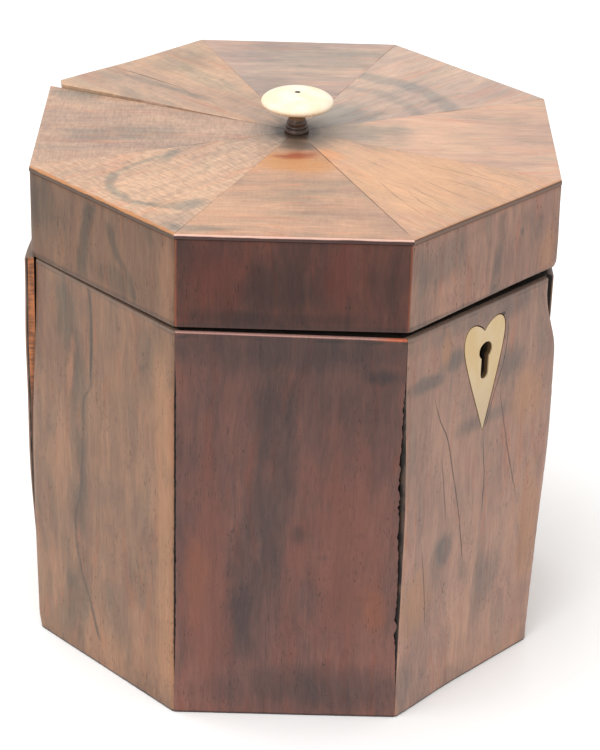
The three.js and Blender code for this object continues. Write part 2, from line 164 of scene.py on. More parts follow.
class Finish:
    """One material's node tree. Each method adds nodes and returns the socket they end in."""

    def __init__(self, name):
        self.material = bpy.data.materials.new(name)
        self.material.use_nodes = True
        self.tree = self.material.node_tree
        self.shader = self.tree.nodes["Principled BSDF"]

    def add(self, kind, **settings):
        node = self.tree.nodes.new("ShaderNode" + kind)
        for key, value in settings.items():
            setattr(node, key, value)
        return node

    def put(self, socket, value):
        if isinstance(value, bpy.types.NodeSocket):
            self.tree.links.new(value, socket)
        elif socket.type == "RGBA" and len(value) == 3:
            socket.default_value = (*value, 1)
        else:
            socket.default_value = value

    def place(self):
        """The point on the piece, in millimetres."""
        found = self.add("TexCoord").outputs["Object"]
        return self.vector("MULTIPLY", found, (1 / MM,) * 3)

    def vector(self, operation, *values):
        node = self.add("VectorMath", operation=operation)
        for socket, value in zip(node.inputs, values):
            self.put(socket, value)
        return node.outputs["Value" if operation in ("LENGTH", "DISTANCE", "DOT_PRODUCT") else "Vector"]

    def math(self, operation, *values, clamp=False):
        node = self.add("Math", operation=operation, use_clamp=clamp)
        for socket, value in zip(node.inputs, values):
            self.put(socket, value)
        return node.outputs[0]

    def axes(self, point):
        node = self.add("SeparateXYZ")
        self.put(node.inputs[0], point)
        return tuple(node.outputs)

    def joined(self, x, y, z):
        node = self.add("CombineXYZ")
        for socket, value in zip(node.inputs, (x, y, z)):
            self.put(socket, value)
        return node.outputs[0]

    def noise(self, point, periods, detail=2.0, seed=0.0, distortion=0.0, rough=0.5):
        """Smooth noise about 0.5, whose waves have these periods along X, Y and Z."""
        node = self.add("TexNoise")
        scaled = self.add("VectorMath", operation="MULTIPLY_ADD")
        self.put(scaled.inputs[0], point)
        self.put(scaled.inputs[1], tuple(1 / period for period in periods))
        self.put(scaled.inputs[2], (seed * 7.3, seed * 3.1, seed * 5.7))
        self.put(node.inputs["Vector"], scaled.outputs[0])
        self.put(node.inputs["Scale"], 1.0)
        self.put(node.inputs["Detail"], detail)
        self.put(node.inputs["Roughness"], rough)
        self.put(node.inputs["Distortion"], distortion)
        return node.outputs["Fac"]

    def span(self, value, low, high, to_low=0.0, to_high=1.0, smooth=True):
        node = self.add("MapRange", interpolation_type="SMOOTHSTEP" if smooth else "LINEAR")
        for name, given in (("From Min", low), ("From Max", high), ("To Min", to_low), ("To Max", to_high)):
            self.put(node.inputs[name], given)
        self.put(node.inputs["Value"], value)
        return node.outputs["Result"]

    def blend(self, factor, first, second, mode="MIX"):
        node = self.add("Mix", data_type="RGBA", blend_type=mode)
        self.put(node.inputs[0], factor)
        self.put(node.inputs[6], first)
        self.put(node.inputs[7], second)
        return node.outputs[2]

    def wash(self, colour, tint):
        """A colour under a thin wash of another."""
        return self.blend(1.0, colour, tint, "MULTIPLY")

    def shaded(self, colour, level):
        """A colour made darker or lighter by a level about 1."""
        return self.wash(colour, self.joined(level, level, level))

    def curve(self, along, points):
        """The value of a smooth curve through (along, value) points."""
        low, high = points[0][0], points[-1][0]
        least = min(value for _, value in points)
        room = max(max(value for _, value in points) - least, 0.001)
        node = self.add("FloatCurve")
        knots = node.mapping.curves[0].points
        for i, (at, value) in enumerate(points):
            spot = ((at - low) / (high - low), (value - least) / room)
            if i in (0, len(points) - 1):
                knots[0 if i == 0 else -1].location = spot
            else:
                knots.new(*spot)
        node.mapping.update()
        self.put(node.inputs["Value"], self.span(along, low, high, smooth=False))
        return self.math("MULTIPLY_ADD", node.outputs[0], room, least)

    def finish(self, colour, roughness, height=None, depth=0.00003, **values):
        """Joins up the shader. values are the shader's own sockets."""
        self.put(self.shader.inputs["Base Color"], colour)
        self.put(self.shader.inputs["Roughness"], roughness)
        for name, value in values.items():
            self.put(self.shader.inputs[SHADER_SOCKETS[name]], value)
        if height is not None:
            bump = self.add("Bump")
            self.put(bump.inputs["Strength"], 1.0)
            self.put(bump.inputs["Distance"], depth)
            self.put(bump.inputs["Height"], height)
            self.put(self.shader.inputs["Normal"], bump.outputs[0])
        return self.material


class Figure:
    """The marks in one veneer: smoky stains, lines of figure and drying cracks, placed in millimetres.

    across and along are the two directions in the veneer's face, along being the grain.
    """

    def __init__(self, finish, point, across, along, seed):
        self.f = finish
        self.point = point
        self.across = across
        self.along = along
        self.seed = seed
        self.deep = finish.axes(point)[1]
        self.ripple = finish.math("SUBTRACT", finish.noise(point, (5, 5, 11), 4, seed + 40, rough=0.6), 0.5)

    def spot(self, centre, radii, lean=0.0, soft=0.6):
        """A cloudy oval patch, 1 in its middle."""
        f = self.f
        dx = f.math("SUBTRACT", self.across, centre[0])
        dz = f.math("SUBTRACT", self.along, centre[1])
        dx = f.math("MULTIPLY_ADD", dz, -lean, dx)
        dx = f.math("DIVIDE", dx, radii[0])
        dz = f.math("DIVIDE", dz, radii[1])
        far = f.vector("LENGTH", f.joined(dx, dz, 0.0))
        far = f.math("MULTIPLY_ADD", self.ripple, 2.2, far)
        return f.span(far, 1 - soft, 1 + soft, 1.0, 0.0)

    def line(self, points, width, soft=0.5, waver=1.2, ends=2.5):
        """A line of figure through (along, across) points, which fades at its ends."""
        f = self.f
        middle = f.curve(self.along, points)
        off = f.math("SUBTRACT", self.across, middle)
        off = f.math("MULTIPLY_ADD", self.ripple, waver, off)
        off = f.math("ABSOLUTE", off)
        mask = f.span(off, width / 2, width / 2 + soft, 1.0, 0.0)
        low, high = points[0][0], points[-1][0]
        mask = f.math("MULTIPLY", mask, f.span(self.along, low, low + ends))
        mask = f.math("MULTIPLY", mask, f.span(self.ripple, -0.25, 0.05, 0.45, 1.0))
        return f.math("MULTIPLY", mask, f.span(self.along, high - ends, high, 1.0, 0.0))

    def ring(self, centre, radius, squash, width, soft, start, stop):
        """Part of an oval line round a centre, from one angle to another in degrees."""
        f = self.f
        dx = f.math("SUBTRACT", self.across, centre[0])
        dz = f.math("MULTIPLY", f.math("SUBTRACT", self.along, centre[1]), squash)
        far = f.vector("LENGTH", f.joined(dx, dz, 0.0))
        off = f.math("SUBTRACT", far, radius)
        off = f.math("ABSOLUTE", f.math("MULTIPLY_ADD", self.ripple, 5.0, off))
        mask = f.span(off, width / 2, width / 2 + soft, 1.0, 0.0)
        angle = f.math("ARCTAN2", dz, dx)
        taper = math.radians(15)
        start, stop = math.radians(start), math.radians(stop)
        mask = f.math("MULTIPLY", mask, f.span(angle, start, start + taper))
        return f.math("MULTIPLY", mask, f.span(angle, stop - taper, stop, 1.0, 0.0))

    def faded(self, mask, strength):
        return self.f.math("MULTIPLY", mask, strength)

    def patch(self, centre, radii, strength, lean=0.0, soft=0.6):
        """A cloudy oval patch, as strong as strength in its middle."""
        return self.faded(self.spot(centre, radii, lean, soft), strength)

    def band(self, value, low, high, soft):
        """1 where a value lies between two others, with soft edges."""
        f = self.f
        rise = f.span(value, low - soft, low + soft)
        fall = f.span(value, high - soft, high + soft, 1.0, 0.0)
        return f.math("MULTIPLY", rise, fall)

    def most(self, masks):
        """The strongest of some masks."""
        whole = masks[0]
        for mask in masks[1:]:
            whole = self.f.math("MAXIMUM", whole, mask)
        return whole


def wood_colour(f, point, seed, light, dark):
    """Figured wood with its grain along Z: broad clouds, long streaks of two tints and fine fibres."""
    wave = f.math("SUBTRACT", f.noise(point, (18, 18, 34), 3, seed + 3), 0.5)
    shift = f.math("MULTIPLY", wave, 9.0)
    swayed = f.vector("ADD", point, f.joined(shift, shift, 0.0))
    cloud = f.span(f.noise(swayed, (19, 19, 38), 4, seed, rough=0.6), 0.34, 0.66)
    streak = f.span(f.noise(swayed, (3.4, 3.4, 36), 4, seed + 11, rough=0.62), 0.34, 0.66)
    fibre = f.noise(swayed, (0.9, 0.9, 20), 3, seed + 17, rough=0.65)
    fine = f.noise(point, (0.25, 0.25, 4.0), 2, seed + 23)
    tone = f.math("MULTIPLY_ADD", streak, 0.32, f.math("MULTIPLY", cloud, 0.56))
    tone = f.math("MULTIPLY_ADD", f.math("SUBTRACT", fibre, 0.37), 0.62, tone)
    tone = f.math("MULTIPLY_ADD", f.math("SUBTRACT", fine, 0.5), 0.34, tone, clamp=True)
    colour = f.blend(tone, dark, light)
    red = f.span(f.noise(swayed, (2.0, 2.0, 24), 3, seed + 29), 0.52, 0.70, 0.0, 0.55)
    colour = f.blend(red, colour, f.wash(colour, (1.12, 0.84, 0.74)))
    grey = f.span(f.noise(swayed, (4.5, 4.5, 22), 4, seed + 35), 0.52, 0.70, 0.0, 0.65)
    colour = f.blend(grey, colour, f.wash(colour, (0.74, 0.86, 0.90)))
    return colour, fine, fibre


def pores(f, point, seed):
    """Short dark flecks along the grain."""
    specks = f.noise(point, (0.3, 0.3, 1.5), 1, seed + 31)
    crowd = f.noise(point, (7, 7, 12), 2, seed + 37)
    return f.math("MULTIPLY", f.span(specks, 0.63, 0.74), f.span(crowd, 0.40, 0.60))


def joined_marks(*groups):
    """Several dictionaries of marks as one."""
    whole = {"smoke": [], "tints": [], "cracks": []}
    for group in groups:
        for kind, found in group.items():
            whole[kind] = whole[kind] + found
    return whole


def veneer_finish(
    name, light, dark, colours, seed, marks, grain="Z", curl=0.0, painted_light=None, gloss=0.4, pits=0.55
):
    """A polished veneer.

    marks(figure) gives masks for smoke, tints and cracks. grain is the axis the grain runs along: Z up a
    side, Y out from the knob or X across a top segment. curl adds ripples across the grain. The pair after
    curl is painted light down a side: how much of the colour is kept at the rim and at the foot.
    """
    f = Finish(name)
    place = f.place()
    x, y, z = f.axes(place)
    point = place
    if grain == "Y":
        point = f.joined(x, z, y)
    elif grain == "X":
        point = f.joined(y, z, x)
    figure = Figure(f, point, x, z if grain == "Z" else y, seed)
    found = joined_marks(marks(figure))
    colour, fine, fibre = wood_colour(f, point, seed, light, dark)
    # Painted light: each side is painted lighter from its rim down to its foot, where the floor's bounce
    # would light it
    if painted_light:
        at_rim, at_foot = painted_light
        colour = f.shaded(colour, f.span(z, 4, 98, at_foot, at_rim, smooth=False))
    if curl:
        ripple = f.math("SUBTRACT", f.noise(point, (2.6, 2.6, 0.55), 3, seed + 71, distortion=0.6), 0.5)
        lit = f.math("MULTIPLY_ADD", ripple, curl * 2.4, 1.0)
        colour = f.shaded(colour, lit)
    smoke = f.span(f.noise(point, (15, 15, 26), 4, seed + 51, distortion=0.5), 0.54, 0.74, 0.0, 0.6)
    if found["smoke"]:
        smoke = figure.most([smoke, *found["smoke"]])
    colour = f.blend(smoke, colour, f.wash(colour, colours.smoke))
    for tint, mask in found["tints"]:
        colour = f.blend(mask, colour, tint)
    colour = f.blend(f.math("MULTIPLY", pores(f, point, seed), pits), colour, colours.glue)
    height = f.math("MULTIPLY_ADD", fine, 0.5, f.math("MULTIPLY", fibre, 0.5))
    lit = f.math("MULTIPLY_ADD", f.math("SUBTRACT", height, 0.5), 0.6, 1.0)
    colour = f.shaded(colour, lit)
    if found["cracks"]:
        crack = figure.most(found["cracks"])
        colour = f.blend(f.math("MULTIPLY", crack, 0.8), colour, colours.glue)
        height = f.math("MULTIPLY_ADD", crack, -3.0, height)
    wear = f.noise(point, (9, 9, 9), 4, seed + 61)
    roughness = f.math("MULTIPLY_ADD", f.math("SUBTRACT", wear, 0.5), 0.4, 0.34)
    return f.finish(colour, roughness, height, 0.000012, specular_ior_level=gloss)


# ---- mesh building ----


def blob_noise(*place):
    """Smooth noise about 0."""
    return noise.noise(Vector(place))


def smooth(value, low, high):
    """Rises smoothly from 0 at low to 1 at high."""
    t = min(max((value - low) / (high - low), 0), 1)
    return t * t * (3 - 2 * t)


def hill(value, low, high):
    """1 in the middle of a stretch and 0 at both its ends."""
    t = (value - low) / (high - low)
    return math.sin(math.pi * t) ** 2 if 0 < t < 1 else 0.0


def added_object(name, data):
    """An object that holds a mesh, a light or a camera."""
    holder = bpy.data.objects.new(name, data)
    bpy.context.collection.objects.link(holder)
    return holder


def closed_mesh(name, points, faces):
    """A mesh from points in millimetres and faces, with every face turned outwards."""
    mesh = bpy.data.meshes.new(name)
    mesh.from_pydata([Vector(p) * MM for p in points], [], faces)
    shell = bmesh.new()
    shell.from_mesh(mesh)
    bmesh.ops.recalc_face_normals(shell, faces=shell.faces)
    shell.to_mesh(mesh)
    shell.free()
    return mesh


def new_piece(name, points, faces, body, materials, turn=0.0, kinds=None):
    """A closed piece that rides on a body. kinds gives the number of each face's material."""
    mesh = closed_mesh(name, points, faces)
    for material in materials:
        mesh.materials.append(material)
    if kinds:
        mesh.polygons.foreach_set("material_index", kinds)
    mesh.shade_smooth()
    mesh.set_sharp_from_angle(angle=SHARP_ANGLE)
    piece = added_object(name, mesh)
    piece.rotation_euler.z = turn
    bpy.context.view_layer.update()
    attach(piece, body)
    return piece


def loft(rings, kind_of=None):
    """Points and faces of a closed body through rings of equal length, with both ends capped."""
    count = len(rings[0])
    points = [p for ring in rings for p in ring]
    faces, kinds = [], []
    for i in range(len(rings) - 1):
        for j in range(count):
            a, b = i * count + j, i * count + (j + 1) % count
            faces.append((a, b, b + count, a + count))
            kinds.append(kind_of[j] if kind_of else 0)
    faces.append(tuple(range(count)))
    faces.append(tuple(range((len(rings) - 1) * count, len(rings) * count)))
    return points, faces, kinds + [0, 0]


def rounded_rows(low, high, step, radius):
    """Heights from low to high with how far each is drawn in, so that both ends are rounded."""
    count = max(int((high - low - 2 * radius) / step), 1)
    rows = [(low, radius), (low + 0.29 * radius, 0.29 * radius)]
    for i in range(count + 1):
        rows.append((low + radius + (high - low - 2 * radius) * i / count, 0.0))
    return rows + [(high - 0.29 * radius, 0.29 * radius), (high, radius)]


def lathe(profile, steps=96):
    """Points and faces turned about Z from a closed profile of (radius, height)."""
    points, faces = [], []
    count = len(profile)
    for i in range(steps):
        angle = 2 * math.pi * i / steps
        points += [(r * math.cos(angle), r * math.sin(angle), z) for r, z in profile]
    for i in range(steps):
        for j in range(count):
            a, b = i * count + j, i * count + (j + 1) % count
            c, d = (b + count) % len(points), (a + count) % len(points)
            faces.append((a, b, c, d))
    return points, faces


def bevel(node, width, segments=2):
    """Rounds a CAD node's sharp edges."""
    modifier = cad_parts[node].modifiers.new("worn_edges", "BEVEL")
    modifier.width = width * MM
    modifier.segments = segments
    modifier.limit_method = "ANGLE"
    modifier.angle_limit = math.radians(40)


def paint(node, material):
    """Gives a CAD node a better material."""
    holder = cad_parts[node]
    holder.data.materials.clear()
    holder.data.materials.append(material)


# ---- side veneers ----


def split_width(z, widest):
    """The ragged split in the corner left of the keyhole side: open between a closed rim and foot."""
    hairline = 0.12
    opening = smooth(96 - z, 0, 34) * smooth(z, 6, 26) * (0.62 + 0.38 * smooth(z, 34, 60))
    rag = 0.65 + abs(blob_noise(z * 0.45, 3.1, 0)) * 0.9 + abs(blob_noise(z * 1.3, 9.4, 0)) * 0.35
    bridge = 1 - 0.5 * hill(z, 23.5, 28.0)
    return (hairline + (widest - hairline) * opening) * rag * bridge


def corner_lean(z):
    """How far the corner left of the keyhole side has moved towards the keyhole below the rim."""
    return 1.3 * smooth(100 - z, 0, 50)


def body_end(side, end, z, sizes):
    """How far a body veneer's end runs past its mitre at a height. Most have shrunk back a little."""
    rest = -0.03 - 0.06 * abs(blob_noise(z * 0.2, end * 5.0, SIDES.index(side) * 3.7))
    foot_wear = -1.6 * (1 - smooth(z, 0, 6)) ** 2
    if (side, end) == ("front_left", 1):
        return rest + corner_lean(z) - split_width(z, sizes.corner_split / MM)
    if (side, end) == ("front", -1):
        return rest - corner_lean(z) * 0.7 - 0.15 * hill(z, 10, 95)
    if (side, end) in (("left", 1), ("front_left", -1)):
        shrunk = 0.34 * smooth(z, 8, 22) * smooth(98 - z, 0, 14)
        return rest - shrunk * (0.7 + abs(blob_noise(z * 0.8, end * 2.0, 1.0)))
    if (side, end) == ("front", 1):
        past, broken = 2.5 * smooth(z, -12, 62), -1.7
        return past + (broken - past) * smooth(z, 80, 97) + 0.12 * blob_noise(z * 0.5, 2.0, 4.0)
    if (side, end) == ("front_right", -1):
        return rest - 2.0 * smooth(z, 2, 60) * (1 - smooth(z, 81.5, 92.5))
    if (side, end) == ("back_left", 1):
        return foot_wear + 0.7 - 2.3 * smooth(100 - z, 4, 38)
    if (side, end) == ("left", -1):
        sprung = 3.0 * smooth(100 - z, -2, 52) - 0.7 * (1 - smooth(z, -5, 40))
        return sprung - 1.2 + 0.5 * foot_wear
    return rest


def body_lift(side, x, z, sizes):
    """How far a loose veneer has sprung out from its board."""
    half = face_apothem() * MITRE
    if side == "back_left":
        height = (0.15 + 0.85 * smooth(z, 4, 52)) * (1 - 0.22 * smooth(z, 76, 100))
        return sizes.loose_edge / MM * height * smooth(x, half - 26, half)
    if side == "front":
        bulge = 0.45 * hill(z, 30, 92) * smooth(x, half - 9, half)
        return bulge + 0.7 * corner_lean(z) * smooth(-x, 0, half)
    return 0.0


def lid_end(side, end, z, sizes):
    """How far a lid veneer's end runs past its mitre at a height."""
    rest = -0.02 - 0.05 * abs(blob_noise(z * 0.3, end * 3.0, SIDES.index(side) * 2.3))
    bottom_wear = 0.9 * (1 - smooth(z, 102.4, 104.6)) ** 2
    if (side, end) == ("front", 1):
        return rest + 0.4 + 0.35 * smooth(120 - z, 0, 12) - bottom_wear
    if (side, end) == ("front_right", -1):
        return rest - bottom_wear
    return rest


def no_lift(side, x, z, sizes):
    """The lid's veneers lie flat on their boards."""
    return 0.0


def skirt_drop(side, x):
    """How much lower than its board a lid veneer hangs at its lower edge."""
    drop = 0.7
    if side in ("left", "front_left"):
        return drop
    if side == "front":
        return drop * smooth(-x, -16, 24)
    return 0.0


RAW_ENDS = (("back_left", 1),)
SQUARE_ENDS = (("back_left", 1), ("front", 1))
# How deep below its face a raw end is still black with old glue
STAIN_DEPTH = 0.75
# Which of a sheet's materials its ends take
RAW, GLUED = 1, 2


class SideSheet:
    """One side's veneer: a mitred sheet with worn edges, waves from planing and what age has done to it.

    end_of and lift_of give how far its ends run on and how far it has sprung from its board.
    """

    columns = 40
    step = 0.8

    def __init__(self, side, node, sizes, end_of, lift_of, follows_rim):
        self.side = side
        self.node = node
        self.sizes = sizes
        self.end_of = end_of
        self.lift_of = lift_of
        self.follows_rim = follows_rim
        self.turn = SIDES.index(side) * TURN
        self.outer = outer_face(side)
        self.inner = -node_box("body_veneer_front")[1].y
        self.radius = sizes.arris / MM
        low, high = node_box(node)
        self.bottom, self.top = low.z, high.z

    def end_points(self, end, z, drawn):
        """The points from the face's edge round the arris and down the end to the board."""
        past = self.end_of(self.side, end, z, self.sizes)
        reach = corner_reach(self.side, end) - MITRE_GAP + past - drawn * 0.4
        back = self.inner * MITRE - MITRE_GAP + min(past, 0)
        if (self.side, end) in SQUARE_ENDS:
            back = reach
        lean = (back - reach) / (self.outer - self.inner)
        depths = (0.29 * self.radius, self.radius, min(STAIN_DEPTH, self.outer - self.inner - 0.05))
        points = [(end * (reach - 0.29 * self.radius), -self.outer + depths[0] + drawn)]
        for depth, sunk in zip(depths[1:], (drawn, 0.0)):
            points.append((end * (reach + lean * depth), -self.outer + depth + sunk))
        points.append((end * back, -self.inner))
        return reach, back, points

    def ring(self, z, drawn):
        """The sheet's outline at one height."""
        left, left_back, left_points = self.end_points(-1, z, drawn)
        right, right_back, right_points = self.end_points(1, z, drawn)
        start, stop = -left + self.radius, right - self.radius
        ring = []
        for i in range(self.columns + 1):
            x = start + (stop - start) * i / self.columns
            wave = self.sizes.wobble / MM * blob_noise(x * 0.06 + self.turn * 14, z * 0.045, 1.7)
            ring.append((x, -self.outer + drawn + wave))
        ring += right_points
        back_columns = self.columns // 3
        for i in range(1, back_columns):
            share = i / back_columns
            ring.append((right_back + (-left_back - right_back) * share, -self.inner))
        ring += reversed(left_points)
        return [self.aged(x, y, z) for x, y in ring]

    def aged(self, x, y, z):
        """A point moved out with the sprung part of the sheet and up to the sloping rim."""
        lift = self.lift_of(self.side, x, z, self.sizes)
        held = 0.55 if y > -self.outer + STAIN_DEPTH + 0.2 else 1.0
        level = z
        if not self.follows_rim:
            level -= skirt_drop(self.side, x) * (self.top - z) / (self.top - self.bottom)
        else:
            full = rim_height(x, y, self.turn)
            level = self.bottom + (z - self.bottom) * (full - self.bottom) / (self.top - self.bottom)
        return (x, y - lift * held, level)

    def make(self, name, materials, body):
        rows = rounded_rows(self.bottom, self.top, self.step, self.radius)
        rings = [self.ring(z, drawn) for z, drawn in rows]
        kinds = [0] * len(rings[0])
        kinds[self.columns + 2] = GLUED
        kinds[self.columns + 3] = RAW if (self.side, 1) in RAW_ENDS else GLUED
        kinds[-4] = GLUED
        kinds[-3] = GLUED
        points, faces, face_kinds = loft(rings, kinds)
        piece = new_piece(name, points, faces, body, materials, self.turn, face_kinds)
        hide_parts(self.node)
        return piece


def outline_loops(node):
    """The closed outlines of a CAD node's flat front, as lists of (x, z) in millimetres, longest first."""
    mesh = bmesh.new()
    mesh.from_mesh(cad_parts[node].data)
    bmesh.ops.remove_doubles(mesh, verts=mesh.verts, dist=1e-6)
    face_y = min(v.co.y for v in mesh.verts)
    flat = {f for f in mesh.faces if all(abs(v.co.y - face_y) < 1e-6 for v in f.verts)}
    edges = [e for e in mesh.edges if sum(f in flat for f in e.link_faces) == 1]
    loops = []
    while edges:
        edge = edges.pop()
        loop = [edge.verts[0], edge.verts[1]]
        while loop[-1] != loop[0]:
            following = next(e for e in edges if loop[-1] in e.verts)
            edges.remove(following)
            loop.append(following.other_vert(loop[-1]))
        loops.append([(v.co.x / MM, v.co.z / MM) for v in loop[:-1]])
    mesh.free()
    return sorted(loops, key=loop_length, reverse=True)


def loop_length(loop):
    """The length of a closed outline."""
    return sum(math.dist(a, b) for a, b in zip(loop, loop[1:] + loop[:1]))


def grown(loop, margin):
    """A closed outline moved outwards by a margin."""
    area = sum(a[0] * b[1] - b[0] * a[1] for a, b in zip(loop, loop[1:] + loop[:1]))
    sign = 1 if area > 0 else -1
    result = []
    for i, (x, z) in enumerate(loop):
        before, after = loop[i - 1], loop[(i + 1) % len(loop)]
        dx, dz = after[0] - before[0], after[1] - before[1]
        length = math.hypot(dx, dz)
        result.append((x + sign * dz / length * margin, z - sign * dx / length * margin))
    return result


def cut_outline(piece, loop, margin, reach):
    """Cuts a hole of an outline through a piece that faces -Y."""
    wide = grown(loop, margin)
    rings = [[(x, y, z) for x, z in wide] for y in (-reach[1], -reach[0])]
    points, faces, _ = loft(rings)
    cutter = added_object("cutter", closed_mesh("cutter", points, faces))
    modifier = piece.modifiers.new("hole", "BOOLEAN")
    modifier.operation = "DIFFERENCE"
    modifier.solver = "EXACT"
    modifier.object = cutter
    bpy.context.view_layer.update()
    cut = bpy.data.meshes.new_from_object(piece.evaluated_get(bpy.context.evaluated_depsgraph_get()))
    piece.modifiers.clear()
    piece.data = cut
    cut.set_sharp_from_angle(angle=SHARP_ANGLE)
    bpy.data.objects.remove(cutter)


def raw_edge_finish(colours):
    """Bare broken wood, orange and cross-lined."""
    f = Finish("raw_veneer_edge")
    point = f.place()
    lines = f.noise(point, (3.0, 3.0, 0.55), 3, 5)
    cloud = f.noise(point, (2.0, 2.0, 8.0), 2, 8)
    tone = f.math("MULTIPLY_ADD", lines, 0.6, f.math("MULTIPLY", cloud, 0.5))
    darker = tuple(part * 0.38 for part in colours.raw_edge)
    colour = f.blend(f.span(tone, 0.4, 0.66), darker, colours.raw_edge)
    old_dirt = f.span(f.axes(point)[2], 58, 74, 0.8, 0.0)
    colour = f.blend(old_dirt, colour, (0.05, 0.032, 0.022))
    return f.finish(colour, 0.6, lines, 0.00005)


def glued_edge_finish(name, colours):
    """The dark edge of a veneer, black with old glue and polish."""
    f = Finish(name)
    point = f.place()
    cloud = f.noise(point, (2.0, 2.0, 4.0), 3, 6)
    colour = f.blend(f.span(cloud, 0.42, 0.7), colours.glue, (0.07, 0.04, 0.026))
    return f.finish(colour, f.span(cloud, 0.3, 0.7, 0.8, 0.55), cloud, 0.00005)


def left_marks(figure):
    """Smoky streaks, a wandering dark line and an eye of orange in the left side."""
    foot = [(6, -2.5), (17, -6), (27, -9.7), (37, -11), (45, -9.1)]
    rise = [(57, -7.9), (71, -7.2), (77, -4.7), (95, -4.1), (102, -5.6)]
    vein = figure.line(foot + rise, 0.3, 0.6, 1.0)
    broad = figure.line([(30, -10), (60, -8.5), (74, -8.5), (86, -11), (100, -13)], 2.0, 4.0, 4.0, 9)
    smoke = [
        figure.faded(vein, 1.0),
        figure.faded(broad, 0.85),
        figure.patch((-12.5, 92), (4, 9), 0.9),
        figure.patch((-11, 16), (5, 11), 0.75, 0.2),
        figure.patch((3, 50), (4, 5), 0.35),
        figure.patch((18, 91), (5, 7), 0.6),
    ]
    edge = figure.line([(0, 22), (30, 21.5), (60, 21), (80, 20.5), (101, 20)], 2.0, 4.0, 2.0, 12)
    tints = [
        ((0.29, 0.135, 0.075), figure.patch((-11.6, 78), (1.3, 7), 0.7, 0.12, 0.5)),
        ((0.36, 0.18, 0.09), figure.faded(edge, 0.6)),
        ((0.05, 0.035, 0.03), figure.faded(vein, 0.35)),
    ]
    return {"smoke": smoke, "tints": tints}


def front_left_marks(figure):
    """Dark smoky columns among redder ones in the dark side."""
    middle = [(8, -11.5), (29, -10.5), (46, -7), (64, -3.5), (80, -3), (98, -6)]
    column = figure.line(middle, 4.5, 5.0, 4.0, 14)
    smoke = [
        figure.faded(column, 0.95),
        figure.patch((8, 8), (20, 6), 0.9),
        figure.patch((-13, 7), (9, 5), 0.7),
        figure.patch((2.8, 50), (1.4, 2.0), 1.0),
        figure.patch((8.7, 44), (1.8, 1.0), 0.9, 0.3),
        figure.patch((18, 33), (2.2, 0.8), 0.9, 0.2),
        figure.patch((7.7, 34), (1.2, 0.8), 0.8),
        figure.patch((17, 50), (1.0, 0.8), 0.8),
        figure.patch((21, 91), (4, 2), 1.0, -0.4),
        figure.patch((0, 97), (24, 5), 0.8),
    ]
    red, bright = (0.17, 0.060, 0.042), (0.22, 0.078, 0.042)
    tints = [
        (red, figure.patch((13, 46), (8, 26), 0.6)),
        (red, figure.patch((-18, 34), (5, 28), 0.55)),
        (red, figure.patch((1, 26), (3, 16), 0.3)),
        (bright, figure.patch((20.5, 29), (3, 6), 0.5)),
        (bright, figure.patch((-20.5, 36), (2.5, 9), 0.45)),
    ]
    return {"smoke": smoke, "tints": tints}


def front_marks(figure):
    """Smoke round the escutcheon, orange patches and long drying cracks in the keyhole side."""
    smoke = [
        figure.patch((-17, 87), (6, 1.8), 1.0, -0.2),
        figure.patch((-8, 90), (4, 2.6), 1.0, 0.5),
        figure.patch((11, 83), (4.5, 4), 0.9),
        figure.patch((3, 71), (10, 2.2), 0.75),
        figure.patch((-8, 40), (3, 3.5), 0.9),
        figure.patch((8, 26), (3.5, 8), 0.7, 0.1),
        figure.patch((-21, 8), (3, 7), 0.7),
        figure.patch((0, 98), (22, 3), 0.6),
    ]
    warm = (0.36, 0.185, 0.10)
    tints = [
        (warm, figure.patch((-17, 30), (5, 8), 0.55)),
        (warm, figure.patch((18, 72), (5, 6), 0.6)),
        (warm, figure.patch((22, 34), (3, 16), 0.55)),
        (warm, figure.patch((-11, 93), (1.5, 4), 0.6)),
    ]
    longest = [(31, -0.6), (47, -3.4), (60, -6.6), (70, -9.2), (77, -12.6), (86, -15.6)]
    cracks = [
        figure.line(longest, 0.06, 0.26, 0.5, 8),
        figure.line([(46, -7.8), (58, -9.8), (69, -11.4)], 0.03, 0.22, 0.4, 8),
        figure.line([(42, 18.2), (52, 14.8), (66, 10.8), (78, 7.9)], 0.05, 0.24, 0.5, 9),
        figure.line([(39, 3.6), (52, 4.8), (60, 4.1), (68, 3.2)], 0.04, 0.24, 0.4, 9),
        figure.line([(18, -13.5), (34, -15), (48, -17.5)], 0.02, 0.2, 0.5, 10),
        figure.line([(68, 3.6), (76, 6.1), (87.6, 9.5), (94, 9.6)], 0.1, 0.16, 0.25, 1.5),
        figure.spot((7.3, 96.3), (0.75, 0.45), 0.3, 0.3),
        figure.spot((-2.9, 84.2), (0.4, 0.5), 0.0, 0.3),
    ]
    return {"smoke": smoke, "tints": tints, "cracks": cracks}


BODY_MARKS = {"left": left_marks, "front_left": front_left_marks, "front": front_marks}


def lid_left_marks(figure):
    """Wavy grey-green streaks."""
    smoke = [
        figure.faded(figure.line([(102, -7), (110, -6.5), (117, -5), (123, -3)], 1.6, 1.8, 3.0, 2), 0.95),
        figure.faded(figure.line([(102, 11), (108, 9), (114, 4.5), (121, 2)], 1.0, 1.8, 3.0, 3), 0.8),
        figure.patch((-19, 115), (6, 7), 0.8),
        figure.patch((4, 107), (7, 3), 0.6, -0.3),
    ]
    tints = [((0.27, 0.14, 0.08), figure.patch((21, 112), (2.5, 11), 0.5))]
    return {"smoke": smoke, "tints": tints}


def lid_front_left_marks(figure):
    """Smoke in the middle and redder wood beside it."""
    smoke = [
        figure.patch((-2, 112), (9, 7), 0.9),
        figure.patch((-6, 104.5), (19, 2), 0.9),
        figure.patch((21, 113), (3, 6), 0.5),
    ]
    red = (0.10, 0.026, 0.018)
    tints = [
        (red, figure.patch((-16, 114), (5, 7), 0.55)),
        (red, figure.patch((10, 115), (3, 7), 0.55)),
    ]
    return {"smoke": smoke, "tints": tints}


